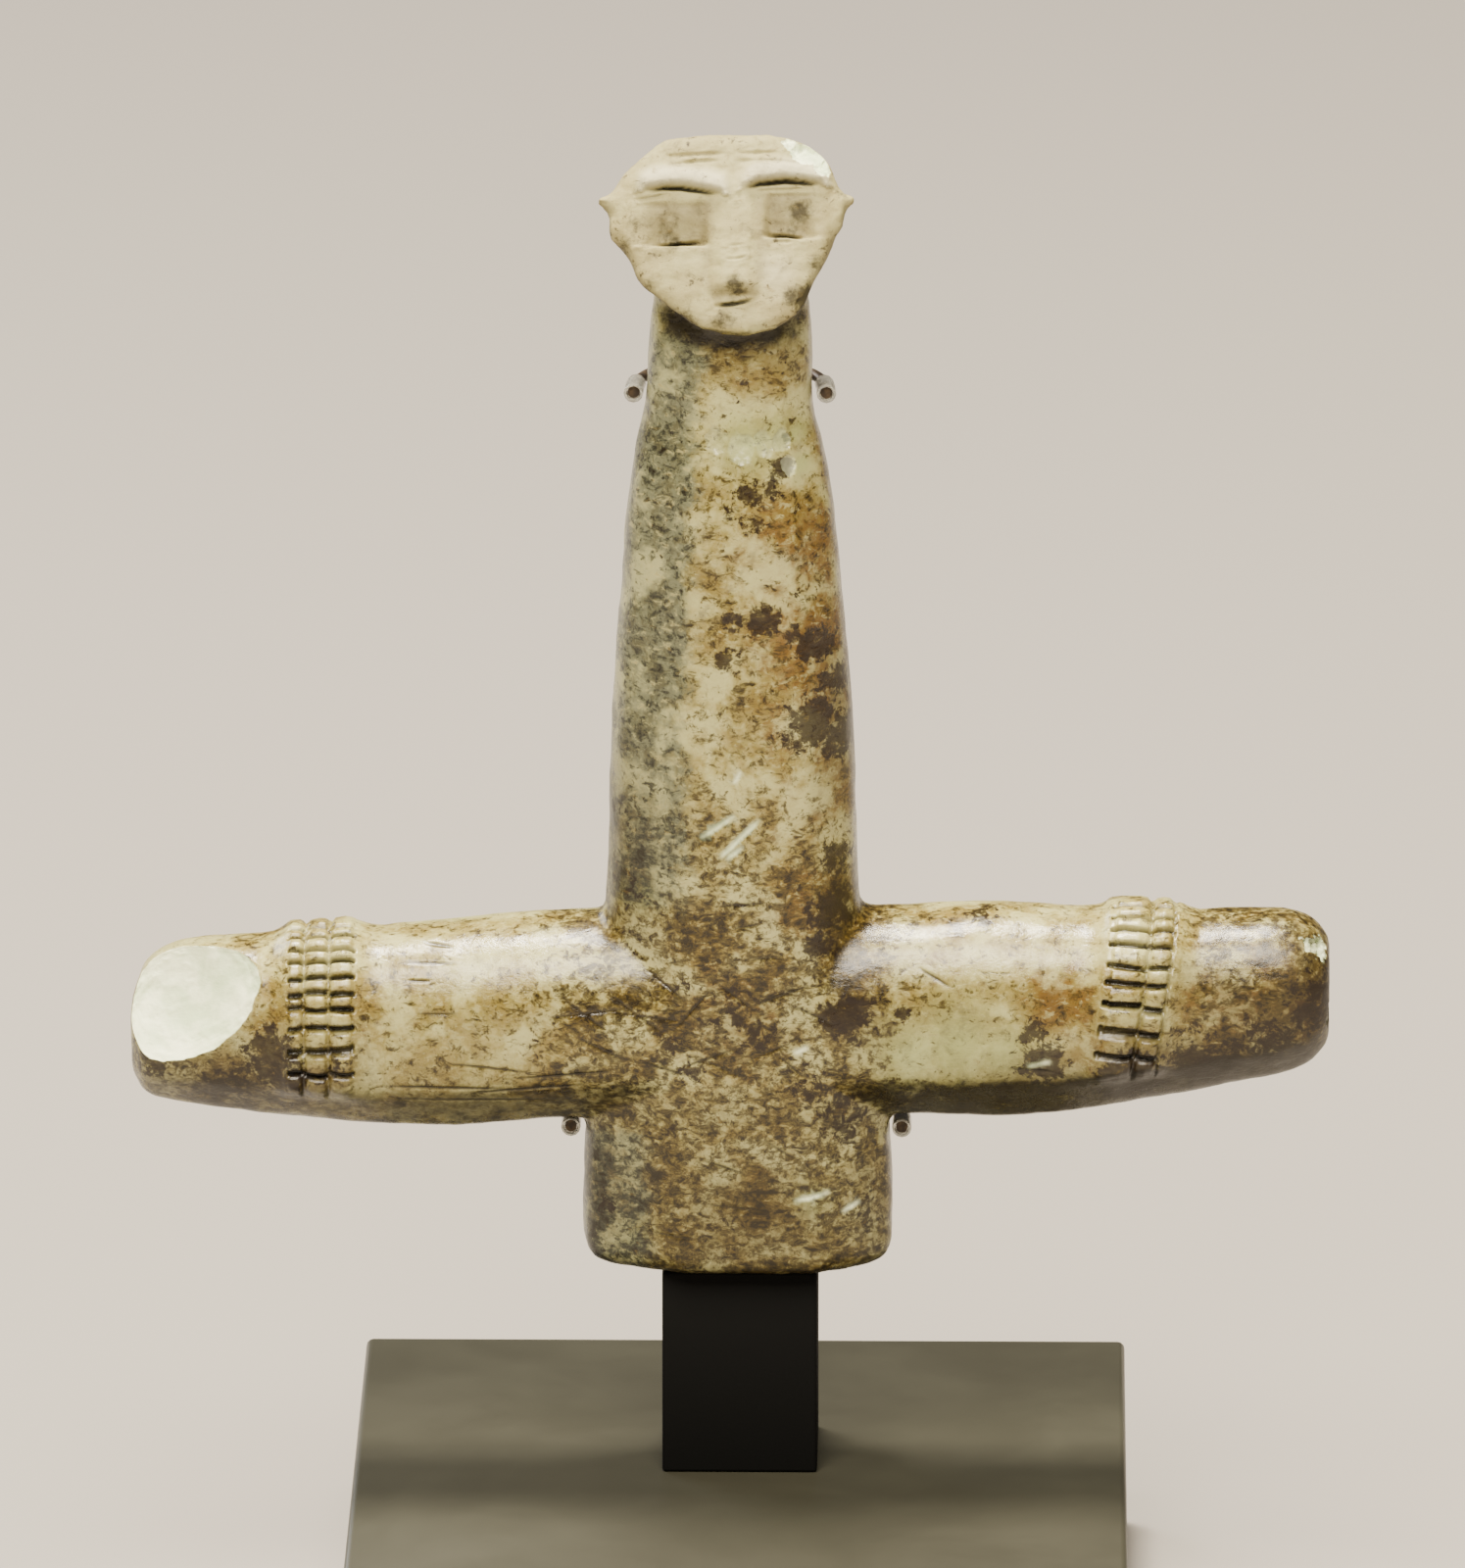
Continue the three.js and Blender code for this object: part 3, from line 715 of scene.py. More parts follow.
def field(across, up, left, right, low, high, soft):
    """1 inside a rectangle and 0 outside it; soft gives its left, right, low and high edges."""
    inside = ramp(across - left, -soft[0], soft[0]) * ramp(right - across, -soft[1], soft[1])
    return inside * ramp(up - low, -soft[2], soft[2]) * ramp(high - up, -soft[3], soft[3])


def cut(across, up, path, above, below, depth):
    """A slit with a steep upper side and a longer lower side, tapering to its ends."""
    distance, along, side = stroke(across, up, path)
    half = np.where(side > 0, above, below)
    ends = np.clip(1 - abs(2 * along - 1) ** 2.4, 0, 1)
    return depth * np.clip(1 - distance / half, 0, 1) ** 0.8 * ends


for path, above, below, depth in FACE_CUTS:
    print("a slit", round(above + below, 2), "mm wide and", depth, "mm deep")

# %% Sizes of the face's forms
# brows: the slit below, from and to which side, height
BROWS = [(0, -7.8, 0.2, 0.72), (2, 0.0, 8.0, 0.68)]
BROW_HEIGHT = 0.7
# eye fields: edges, their softness, depth at the top and how much more below, where it grows
EYES = [
    ((-6.6, -2.0, -1.0, 2.3), (1.6, 0.45, 0.13, 0.16), (0.2, 0.7), (-2.2, 1.0)),
    ((2.6, 6.2, -0.35, 3.05), (0.4, 1.0, 0.13, 0.16), (0.22, 0.65), (-3.0, 0.35)),
]
NOSE_LEFT, NOSE_RIGHT, NOSE_TAPER = -1.75, 2.15, 0.03
NOSE_TIP = (-4.95, -4.1)
NOSE_TOP = (2.0, 5.0)
BELOW_NOSE = (-1.4, 1.9, -5.3, -4.75)
BELOW_NOSE_SOFT = (0.4, 0.4, 0.2, 0.2)
BELOW_NOSE_DEPTH = 0.15
CHEEK = (3.4, -3.2)
CHEEK_REACH = (1.5, 1.6)
print("brows:", len(BROWS), "eye fields:", len(EYES))


# %% The forms added up
def nose(across, up):
    """The low ridge of the nose, and the dust and painted shade along both its sides."""
    left = NOSE_LEFT + NOSE_TAPER * up
    right = NOSE_RIGHT - NOSE_TAPER * up
    from_edge = np.minimum(across - left, right - across)
    length = ramp(up, *NOSE_TIP) * (1 - ramp(up, *NOSE_TOP))
    height = ramp(from_edge, -0.3, 1.3) * length * (0.3 + 0.4 * ramp(-up, -2, 4.0))
    return height, length * np.exp(-((from_edge / 0.55) ** 2))


def face_height(across, up):
    """Height of the forms, where the brows and the cheek get a painted highlight, and where the
    hollows get dust and painted shade.
    """
    brows = sum(brow(across, up, FACE_CUTS[slit][0], *sizes) for slit, *sizes in BROWS)
    fields = [field(across, up, *edges, soft) for edges, soft, _, _ in EYES]
    ridge, beside_nose = nose(across, up)
    below_nose = field(across, up, *BELOW_NOSE, BELOW_NOSE_SOFT)
    height = brows
    for eye, (_, _, (at_top, more), grows) in zip(fields, EYES):
        height = height - eye * (at_top + more * ramp(-up, *grows))
    height = height + ridge - BELOW_NOSE_DEPTH * below_nose
    from_cheek = ((across - CHEEK[0]) / CHEEK_REACH[0], (up - CHEEK[1]) / CHEEK_REACH[1])
    cheek = np.exp(-(from_cheek[0] ** 2 + from_cheek[1] ** 2))
    # A painted highlight on the raised brows and on the cheek.
    painted_highlight = np.clip(1.4 * np.clip(brows / BROW_HEIGHT, 0, 1) + 0.5 * cheek, 0, 1)
    # Dust and painted shade in the eye fields and beside and below the nose.
    dusty = np.clip(sum(fields) + 0.7 * beside_nose + 0.6 * below_nose, 0, 1)
    return height, painted_highlight, dusty


tip_height, _, _ = face_height(np.array([0.2]), np.array([-3.9]))
print("the nose near its tip:", round(float(tip_height[0]), 2), "mm high")

# %% Give the skin the waves of handwork
HAND_WAVE = 0.09
FACE_GRAIN = 0.09
points = points_of(stone)
normals = normals_of(stone)
on_front_of_head = ramp(on_face(points)[:, 2], -1.5, -0.5) * (points[:, 2] > 74)
waves = HAND_WAVE * unevenness(points, 4)
waves += FACE_GRAIN * unevenness(points, 1.1) * on_front_of_head
points += normals * waves[:, None]
print("waves: up to", round(float(abs(waves).max()), 2), "mm")

# %% Cut the face
across, up, out = on_face(points).T
outward = face_turn[:, 2]
on_the_face = ramp(out, -0.9, -0.1) * ramp(normals @ outward, 0.35, 0.75)
height, painted_highlight, dusty = face_height(across, up)
slit_depth = np.zeros(len(points))
for path, above, below, depth in FACE_CUTS:
    slit_depth = np.maximum(slit_depth, cut(across, up, path, above, below, depth))
points += ((height - slit_depth) * on_the_face)[:, None] * outward
face_dirt = ramp(slit_depth, 0.08, 0.5) * on_the_face
painted_highlight, dusty = painted_highlight * on_the_face, dusty * on_the_face
put_points(stone, points)
print("face: deepest slit", round(float((slit_depth * on_the_face).max()), 2), "mm")

# %% [markdown]
# ## Carving the bracelets
#
# Each bracelet is a raised band round the arm. Ring grooves split it into columns, and short
# cuts across the columns leave rows of little cushions. The cuts run over the top and down
# the front, a little unevenly, and the band dies away underneath.

# %% Sizes of the cuts
ROW_HALF_WIDTH = 0.28
ROW_DEPTH = 0.65
CUSHION = 0.17
FADE_FROM, FADE_TO = 108, 132
ARM_AROUND = 6.9
FIRST_EDGE, LAST_EDGE = -5, 116
INNER_REACH = 2.4
# spread of a cut's place and slant, in degrees, and of its strength
CUT_WANDER, CUT_SLANT = 0.9, 0.6
CUT_STRENGTH = (0.75, 1.1)
chance = np.random.default_rng(7)
print("a cut is", ROW_DEPTH, "mm deep and", 2 * ROW_HALF_WIDTH, "mm wide")


# %% Heights of the bracelets
def row_cuts(offset, turn, bracelet):
    """How deep each point lies in a cut, from 0 to about 1."""
    in_cut = np.zeros(len(offset))
    for start, end in bracelet["columns"]:
        inside = ramp(np.minimum(offset - start, end - offset), 0.0, 0.22)
        for row in bracelet["rows"]:
            slant = (offset - start) / 2
            wander = chance.normal(0, CUT_WANDER) + chance.normal(0, CUT_SLANT) * slant
            wander += bracelet["tilt"] * offset * row / 100
            away = abs(turn - row - wander) * math.radians(1) * ARM_AROUND
            groove = np.clip(1 - away / ROW_HALF_WIDTH, 0, 1) ** 0.8
            in_cut = np.maximum(in_cut, groove * inside * chance.uniform(*CUT_STRENGTH))
    return in_cut


def cushions(turn, rows):
    """A soft swelling between one cut and the next."""
    rows = np.array([FIRST_EDGE, *rows, LAST_EDGE])
    cell = np.clip(np.searchsorted(rows, turn) - 1, 0, len(rows) - 2)
    within = np.clip((turn - rows[cell]) / (rows[cell + 1] - rows[cell]), 0, 1)
    return CUSHION * (1 - (2 * within - 1) ** 2)


def bracelet_height(points, bracelet):
    """How far the bracelet stands out at each point, and how much dirt its cuts hold."""
    offset, turn = on_bracelet(points, bracelet)
    profile = np.array(bracelet["profile"])
    proud = np.interp(offset, profile[:, 0], profile[:, 1])
    fade = 1 - ramp(abs(turn), FADE_FROM, FADE_TO)
    in_cut = row_cuts(offset, turn, bracelet)
    inner = (abs(offset) < INNER_REACH) & (turn > 0)
    height = proud + cushions(turn, bracelet["rows"]) * inner - ROW_DEPTH * in_cut * (proud > 0.1)
    in_ring = np.clip((0.65 - proud) / 0.6, 0, 0.7) * inner
    dirt = np.clip(1.3 * in_cut + in_ring, 0, 1) * fade * (proud > 0)
    return np.maximum(height, 0) * fade, dirt


print("cushions stand", CUSHION, "mm higher than their edges")

# %% Raise and cut the bracelets
points = points_of(stone)
around = normals_of(stone) * np.array([0.0, 1.0, 1.0])
around /= np.maximum(np.linalg.norm(around, axis=1), 0.2)[:, None]
bracelet_dirt = np.zeros(len(points))
for name, bracelet in BRACELETS.items():
    height, dirt = bracelet_height(points, bracelet)
    points += height[:, None] * around
    bracelet_dirt = np.maximum(bracelet_dirt, dirt)
    print(name, "bracelet: stands", round(float(height.max()), 2), "mm proud")
put_points(stone, points)

# %% [markdown]
# ## Breaks and scratches
#
# The left end has lost a flake, which left a shallow dish of clean pale stone. Small chips are
# off the blunt right end, the crown, the jaw and the top of the neck. A point of the stone that
# falls inside a hollow is pushed out to the hollow's skin, which leaves a crisp rim. Scratches
# are narrow and shallow. The oldest are dark with dirt, and the newest show pale stone.

# %% Press the hollows
RIM = 0.1
points = points_of(stone)
fresh = np.zeros(len(points))
bumps = unevenness(points, 0.9)
for hollow in HOLLOWS:
    middle, half_sizes, freshness, roughness = hollow
    size = half_sizes.mean()
    reach = into_hollow(points, hollow)
    skin = 1 + roughness * bumps / size
    inside = reach < skin
    moved = middle + (points - middle) * (skin / reach)[:, None]
    points = np.where(inside[:, None], moved, points)
    fresh = np.maximum(fresh, freshness * ramp((skin - reach) * size, 0.0, RIM))
put_points(stone, points)
print("broken:", int((fresh > 0.5).sum()), "points")


# %% Cut the scratches
def scratched(points, scratches, half_width):
    """Depth of the deepest scratch at each point of the front."""
    deepest = np.zeros(len(points))
    for start, end, depth in scratches:
        distance, along, _ = stroke(points[:, 0], points[:, 2], [start, end])
        ends = np.clip(1 - abs(2 * along - 1) ** 2, 0, 1)
        line = depth * np.clip(1 - distance / half_width, 0, 1) * ends
        deepest = np.maximum(deepest, line * (points[:, 1] < 0))
    return deepest


DARK_FROM = 0.06
PALE_FROM = 0.16
points = points_of(stone)
scratch = scratched(points, SCRATCHES, SCRATCH_WIDTH)
pale_scratch = scratched(points, PALE_SCRATCHES, PALE_SCRATCH_WIDTH)
points -= normals_of(stone) * (scratch + pale_scratch)[:, None]
put_points(stone, points)
fresh = np.maximum(fresh, np.clip(pale_scratch / PALE_FROM * (1 + 0.6 * bumps), 0, 0.7))
print("scratches: deepest", round(float(pale_scratch.max()), 2), "mm")

# %% [markdown]
# ## Marks that steer the finish
#
# The finish has to know where the carving, the breaks, the big stained spots and the painted
# shade and highlight are. A stained spot or a patch of painted shade is a soft spot with a
# place and a reach. All the marks are kept on the stone as masks in five colour attributes,
# up to three in each, so the pattern stays with the stone from every side.

# %% Places of the dark, ochre and pale spots
# across, high, reach, strength
DARK_SPOTS = [
    (1.5, 62.5, 1.3, 0.9), (4.0, 64.5, 1.1, 0.95), (3.4, 62.9, 0.9, 0.8), (0.4, 61, 0.9, 0.8),
    (1.9, 60.4, 1.0, 0.9), (5.7, 61.3, 0.9, 0.7), (4, 58, 0.8, 0.7), (6.4, 56.8, 0.9, 0.7),
    (5.9, 54.5, 1, 0.7), (2.6, 52.7, 1.4, 1), (0.4, 52.7, 1.1, 0.9), (-0.2, 49.8, 1.1, 0.9),
    (4.9, 51.7, 0.9, 0.9), (6.6, 50.5, 1.6, 1), (8.1, 47.4, 1.6, 0.9), (6.4, 44.5, 2.3, 1),
    (8.7, 42.9, 1.8, 1), (0.2, 69.4, 1.1, 0.5), (3.8, 72.5, 0.9, 0.7), (-0.6, 73.3, 0.9, 0.5),
    (1.5, 71, 0.8, 0.6), (-3.8, 66.8, 1.2, 0.6), (-4.5, 63.3, 1.1, 0.5), (-5.5, 59.8, 1.2, 0.5),
    (-4.9, 57.4, 1, 0.5), (7.7, 29.3, 2, 1), (8.2, 33.5, 1.6, 0.9), (6.9, 26.7, 1.4, 0.9),
    (8.7, 20.9, 1.8, 1), (10.2, 21.7, 1.4, 0.95), (13.3, 21.4, 0.7, 1), (0.1, 21.4, 2.6, 0.75),
    (-2.6, 23, 1.8, 0.65), (2.1, 19.3, 1.9, 0.75), (-4.7, 18.8, 1.1, 0.85), (-2.6, 16.7, 1.2, 0.9),
    (6.2, 15.4, 2, 0.8), (3.6, 13.6, 1.6, 0.6), (-9.4, 5.5, 1.1, 0.8), (0.1, 4.4, 2.8, 0.55),
    (-8, 31, 2.8, 0.65), (-35.1, 17.6, 2.2, 1), (-34.2, 15.8, 2, 0.95),
    (-38.5, 14.8, 3, 0.75), (-44.8, 17, 1.8, 0.9), (-8.4, 36.5, 2.4, 0.55), (-7.4, 26.5, 2, 0.6),
    (-30.2, 16.8, 2, 0.65), (-14.9, 19.1, 1.3, 0.6), (-23.8, 19.1, 1.2, 0.45), (-26.5, 21.3, 1.5, 0.4),
    (23.3, 19.7, 1.4, 0.9), (24.3, 17.4, 2, 1), (19.5, 28, 1.3, 0.8), (25, 26.2, 1.7, 0.5),
    (36.6, 16.9, 3, 0.95), (41.4, 18.4, 3, 0.8), (45.4, 21.5, 2.6, 0.9), (31, 16, 2.6, 1.1),
    (10.5, 5, 2.4, 0.6), (-5, 12, 3, 0.5), (9, 12.5, 2.4, 0.8),
]
OCHRE_SPOTS = [
    (5, 58, 4.5, 0.9), (6, 51, 4.5, 1), (7, 45, 4.5, 0.9), (7, 38, 4, 0.7), (6, 66, 4, 0.7),
    (2, 71, 4, 0.5), (25.2, 22.5, 2.8, 1), (38.7, 22.5, 3.4, 0.9), (28, 18, 4, 0.6),
    (14, 23, 5, 0.6), (0, 21, 6, 0.7), (-12, 19, 5, 0.4), (-26, 20.5, 4, 0.5), (-35, 20, 3, 0.5),
    (2, 8, 6, 0.5), (42, 25, 3, 0.5), (6, 30, 4, 0.8), (3, 50, 9, 0.45),
]
PALE_SPOTS = [
    (14, 18.3, 2.2, 0.9), (17.5, 18.8, 2.4, 1), (21, 18.2, 1.8, 0.9), (1.3, 66.5, 1.7, 1),
    (3.4, 67.2, 1.2, 0.9), (5.1, 67, 0.7, 1), (5.5, 64.5, 0.6, 1), (-7.4, 2.6, 1.3, 0.3),
    (-6.9, 30, 1.1, 0.5), (5.2, 88.6, 1.6, 0.9), (6.4, 6.5, 1.0, 0.8), (-2, 84, 5, 0.6),
    (3, 85, 4, 0.5), (-2, 80, 3, 0.4),
]
print("spots:", len(DARK_SPOTS), "dark,", len(OCHRE_SPOTS), "ochre,", len(PALE_SPOTS), "pale")

# %% Places of the washes, some of them painted shade, and the tints
# broad brown washes, some of them painted shade on the stub, under the arms and on the lower
# right bracelet: across, high, reach across, reach up, strength
WASHES_AND_SHADE = [
    (38, 17, 9, 3.2, 0.95), (45, 20.5, 4.2, 7, 1.2), (25, 16.2, 5, 2, 0.6),
    (-38.5, 15.4, 7, 3.4, 0.9), (-31, 15.6, 3, 2.4, 0.8), (9.8, 21.5, 2.2, 3, 0.6),
    (8.4, 29, 1.8, 4, 0.75), (9, 12.5, 3, 2, 0.75), (-9, 13.3, 3, 1.8, 0.65),
    (11, 5, 1.8, 7, 0.75), (0.5, 20.5, 6, 3.4, 0.3), (-8.2, 33, 3.4, 8, 0.75),
    (2, 4, 10, 6.5, 0.68), (-9.4, 6.5, 3.8, 6, 0.8), (38, 23.5, 4, 3, 0.5),
    (31, 17, 3.4, 3.4, 0.85), (8.6, 44, 1.6, 7, 0.6), (42, 19.5, 6, 4.5, 0.9),
    (0, 13, 9, 2.2, 0.4), (-22, 13.4, 14, 1.8, 0.75),
]
# olive tints on the mask: place across and up in the face's frame, reach, strength
TINTS = [
    (-4.9, 0.2, 1.5, 0.7), (-4.3, -0.6, 1.0, 0.8), (-7.4, 0.9, 1.3, 0.5), (5.2, 1.7, 1.3, 0.9),
    (4.6, 0.3, 0.8, 0.7), (-0.6, -7.2, 1.6, 0.8), (5.9, -5.1, 1.5, 1.3), (4.6, -4.9, 1.0, 1.0),
    (-3.4, -7.2, 1.5, 0.8), (-6.6, -4.6, 1.3, 0.7), (0.2, -4.1, 0.9, 0.9), (-8.3, -1.0, 0.9, 0.7),
    (1.9, 0.5, 0.9, 0.35), (-3.5, 7.0, 1.8, 0.3), (6.4, -2.4, 1.0, 0.7), (0.2, -1.0, 1.2, 0.3),
    (-6.0, 6.2, 1.4, 0.35), (8.2, 3.0, 1.0, 0.5),
]
print("washes:", len(WASHES_AND_SHADE), "tints:", len(TINTS))

# %% Soft spots
# random spots on the back for a share of 1, and how far the listed ones spread
BACK_SPOTS = 34
SPREAD = 1.45


def soft_spots(across, high, marks):
    """The strongest of the marks at each point: place, one or two reaches, and strength."""
    total = np.zeros(len(across))
    for mark_across, mark_high, *reach, strength in marks:
        far = np.hypot((across - mark_across) / reach[0], (high - mark_high) / reach[-1])
        total = np.maximum(total, strength * np.exp(-(far**2)))
    return total


def random_mark():
    """A spot somewhere on the back of the arms or of the shaft."""
    along_arms = chance.random() < 0.5
    across = chance.uniform(-44, 44) if along_arms else chance.uniform(-9, 9)
    high = chance.uniform(13, 26) if along_arms else chance.uniform(2, 86)
    return across, high, chance.uniform(1.2, 4.5), chance.uniform(0.4, 1)


def spots(points, front_marks, back_share):
    """Soft spots on the front where they are listed, and at random places on the back."""
    front = ramp(-points[:, 1], -2.5, 0.5)
    wide_marks = [(across, high, SPREAD * reach, how) for across, high, reach, how in front_marks]
    back_marks = [random_mark() for _ in range(int(BACK_SPOTS * back_share))]
    on_front = soft_spots(points[:, 0], points[:, 2], wide_marks) * front
    return np.maximum(on_front, soft_spots(points[:, 0], points[:, 2], back_marks) * (1 - front))


at_its_reach = soft_spots(np.array([2.0]), np.zeros(1), [(0, 0, 2, 1)])
print("a spot is this strong at its own reach:", round(float(at_its_reach[0]), 2))

# %% Parts of the stone
points = points_of(stone)
across, deep, high = points.T
face_across, face_up, face_out = on_face(points).T
aside = abs(across)
sideways = across / between(SHAFT, np.clip(high, 0, 79))[:, 0]
on_neck = ramp(high, 27.5, 31)
on_stub = 1 - ramp(high, 10, 13)
on_head = ramp(face_out, -3.5, -1.5) * ramp(high, 75.6, 76.6)
low_down = 1 - ramp(high, 26, 46)
print("points on the head:", int((on_head > 0.5).sum()))

# %% The grey facet, partly painted shade, and the painted shade on the undersides and below the chin
CHIN_SHADE_HIGH = 75.6
CHIN_SHADE_REACH = (6.2, 1.9)
# The grey left facet and the left of the stub: a grey that is partly the stone's own tone and partly
# painted shade.
grey_and_shaded_side = ramp(-sideways, 0.0, 0.6) * on_neck * (1 - ramp(high, 73, 77))
grey_and_shaded_side = np.maximum(grey_and_shaded_side, ramp(-sideways, 0.3, 0.7) * on_stub)
# Painted shadow on the neck below the chin.
below_chin = np.hypot(across / CHIN_SHADE_REACH[0], (high - CHIN_SHADE_HIGH) / CHIN_SHADE_REACH[1])
chin_shade = (1 - ramp(below_chin, 0.4, 1.3)) * (deep < -2.5) * (1 - fresh)
chin_shade *= 1 - ramp(face_out, -2.8, -2.0)
# Painted shade on every surface that faces down, darker towards the right, kept with the chin's shadow
# in the under mask.
downward = ramp(-normals_of(stone)[:, 2], 0.25, 0.75) * (high < 80)
darker_right = 0.45 + 0.55 * ramp(across, 5, 20)
under = 0.8 * np.maximum(downward * darker_right, chin_shade)
print("points in the shade:", int((under > 0.4).sum()))

# %% How crowded the specks are
busy = 0.3 + 0.7 * low_down * (1 - ramp(aside, 11, 17))
busy = np.maximum(busy, grey_and_shaded_side * low_down)
busy = np.maximum(busy, 0.42 * on_neck)
busy = np.maximum(busy, ramp(across, 33, 38))
busy = np.maximum(busy, ramp(-across, 30, 35) * ramp(-high, -20, -16))
busy -= 0.05 * ramp(aside, 9, 13) * (1 - ramp(aside, 26, 31)) * ramp(high, 15.5, 18)
busy *= 1 - 0.95 * on_head
print("crowding of the specks:", round(float(busy.mean()), 2), "on average")

# %% Store the masks
# Several masks carry painted light: the under mask is painted shade, the washes and the grey side are
# partly painted shade, and the face's masks hold a painted highlight and dust with painted shade.
ATTRIBUTES = {
    "stains_and_grey_side": ("brown", "ochre", "grey"),
    "marks": ("dirt", "broken", "scratched"),
    "pale_shade_head": ("pale", "under", "head"),
    "zones": ("busy", "washed_and_shaded", "tinted"),
    "mask": ("painted_highlight", "dusty"),
}
masks = {
    "brown": spots(points, DARK_SPOTS, 1),
    "ochre": spots(points, OCHRE_SPOTS, 0.8),
    "grey": grey_and_shaded_side,
    "dirt": np.maximum(face_dirt, bracelet_dirt),
    "broken": fresh,
    "scratched": np.clip(scratch / DARK_FROM, 0, 1),
    "pale": spots(points, PALE_SPOTS, 0.3),
    "under": under,
    "head": on_head,
    "busy": busy,
    "washed_and_shaded": soft_spots(across, high, WASHES_AND_SHADE),
    "tinted": soft_spots(face_across, face_up, TINTS) * on_head,
    "painted_highlight": painted_highlight,
    "dusty": dusty,
}
for name, kept in ATTRIBUTES.items():
    colours = np.zeros((len(points), 4), np.float32)
    colours[:, 3] = 1
    for channel, mask in enumerate(kept):
        colours[:, channel] = masks[mask]
    layer = stone.data.attributes.new(name, "FLOAT_COLOR", "POINT")
    layer.data.foreach_set("color", colours.ravel())
print("masks stored:", len(masks), "on", len(points), "points")


# %% Bring the stone to its place, in metres
def stand_for(piece, node):
    """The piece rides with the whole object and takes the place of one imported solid."""
    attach(piece, "root")
    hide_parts(node)


FIGURE_DEEP = -0.5
figure_low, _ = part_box("figurine")
activate(stone)
stone.scale = (MM, MM, MM)
stone.location = (0, FIGURE_DEEP * MM, figure_low.z)
bpy.ops.object.transform_apply(location=True, rotation=True, scale=True)
bpy.ops.object.shade_smooth()
stand_for(stone, "figurine")
print("carved stone:", triangle_count(stone), "triangles")

# %% [markdown]
# ## The stand's blocks
#
# The foot, the post and the strap up the back are plain bar. A cube is added for each, sized
# to the solid's box, and its sharp edges get a fine bevel, because a painted edge always
# catches a thin line of light.


# %% Foot, post and strap
def bevelled_bar(name, node, bevel):
    low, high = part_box(node)
    deselect()
    bpy.ops.mesh.primitive_cube_add(size=1, location=(low + high) / 2)
    piece = bpy.context.object
    piece.name = name
    piece.dimensions = high - low
    bpy.ops.object.transform_apply(location=True, rotation=True, scale=True)
    apply_modifier(piece, "BEVEL", width=bevel * MM, segments=3, limit_method="ANGLE")
    bpy.ops.object.shade_smooth_by_angle(angle=math.radians(35))
    stand_for(piece, node)
    print(name, "measures", [round(side / MM, 1) for side in piece.dimensions], "mm")
    return piece


foot = bevelled_bar("stand_foot", "foot", 0.55)
post = bevelled_bar("stand_post", "post", 0.3)
strap = bevelled_bar("stand_strap", "spine", 0.3)

# %% [markdown]
# ## The wires and their sleeves
#
# A wire is a round bar bent on a smooth route: out from the strap behind the stone, round its
# side and forward to a short tip. A curve with a round bevel is exactly that. It is drawn
# through the route's points and made a mesh. Each tip wears a short clear sleeve, a tube with
# a real wall that reaches a little past the wire, so that the wire's end shows inside it.

# %% Routes of the wires
WIRE_BEHIND = 7.2
NECK_HIGH = 69.1
ARM_HIGH = 10.3
# half of each route from behind the stone to the right tip: across, deep, high
NECK_ROUTE = [
    (0, WIRE_BEHIND, NECK_HIGH), (2.6, WIRE_BEHIND, NECK_HIGH), (4.8, 6.7, NECK_HIGH),
    (6.2, 5.3, NECK_HIGH), (7, 3.4, NECK_HIGH), (7.3, 1.4, NECK_HIGH), (7.4, -0.7, NECK_HIGH),
]
ARM_ROUTE = [
    (0, WIRE_BEHIND, ARM_HIGH), (6, WIRE_BEHIND, ARM_HIGH), (10.4, WIRE_BEHIND, ARM_HIGH),
    (12.3, 6.2, ARM_HIGH), (12.8, 4.2, ARM_HIGH), (12.8, 1.5, ARM_HIGH + 0.1),
    (12.8, -1.2, ARM_HIGH + 0.2),
]
WIRE_DIAMETER = 0.9
WIRE_SOFT_EDGE = 0.12
SLEEVE_OUTER = 1.5
SLEEVE_LENGTH = 3
SLEEVE_PAST_WIRE = 0.35
SLEEVE_WALL = 0.2
SLEEVE_SOFT_EDGE = 0.05
ROUTE_POINTS, WIRE_POINTS, SLEEVE_POINTS = 400, 72, 9


def whole_route(half, middle):
    """The whole route, evenly stepped, from the left tip to the right one, in millimetres."""
    right = np.array(half, float)
    left = right[:0:-1] * np.array([-1, 1, 1])
    route = np.r_[left, right] + np.array([middle, FIGURE_DEEP, figure_low.z / MM])
    steps = distances_along(route)
    return between(np.c_[steps, route], np.linspace(0, steps[-1], ROUTE_POINTS))


def stretch(route, start, end, count):
    """Points at even steps on the part of a route between two distances from its start."""
    steps = distances_along(route)
    at = np.linspace(start, end, count)
    return np.c_[[np.interp(at, steps, route[:, axis]) for axis in range(3)]].T


neck_route = whole_route(NECK_ROUTE, 0)
arm_route = whole_route(ARM_ROUTE, 0.5)
for route in (neck_route, arm_route):
    print("a wire and its sleeves:", round(float(distances_along(route)[-1]), 1), "mm long")


# %% A round bar on a path
def round_bar(name, path, diameter, open_ended=False):
    """A tube on a path of points, in metres: a curve with a round bevel, made a mesh."""
    deselect()
    bpy.ops.curve.primitive_nurbs_path_add()
    piece = bpy.context.object
    piece.name = name
    curve = piece.data
    curve.splines.clear()
    line = curve.splines.new("POLY")
    line.points.add(len(path) - 1)
    for point, place in zip(line.points, path):
        point.co = (*(place * MM), 1)
    curve.bevel_depth = diameter * MM / 2
    curve.bevel_resolution = 4
    curve.use_fill_caps = not open_ended
    bpy.ops.object.convert(target="MESH")
    bpy.ops.object.transform_apply(location=True, rotation=True, scale=True)
    return bpy.context.object


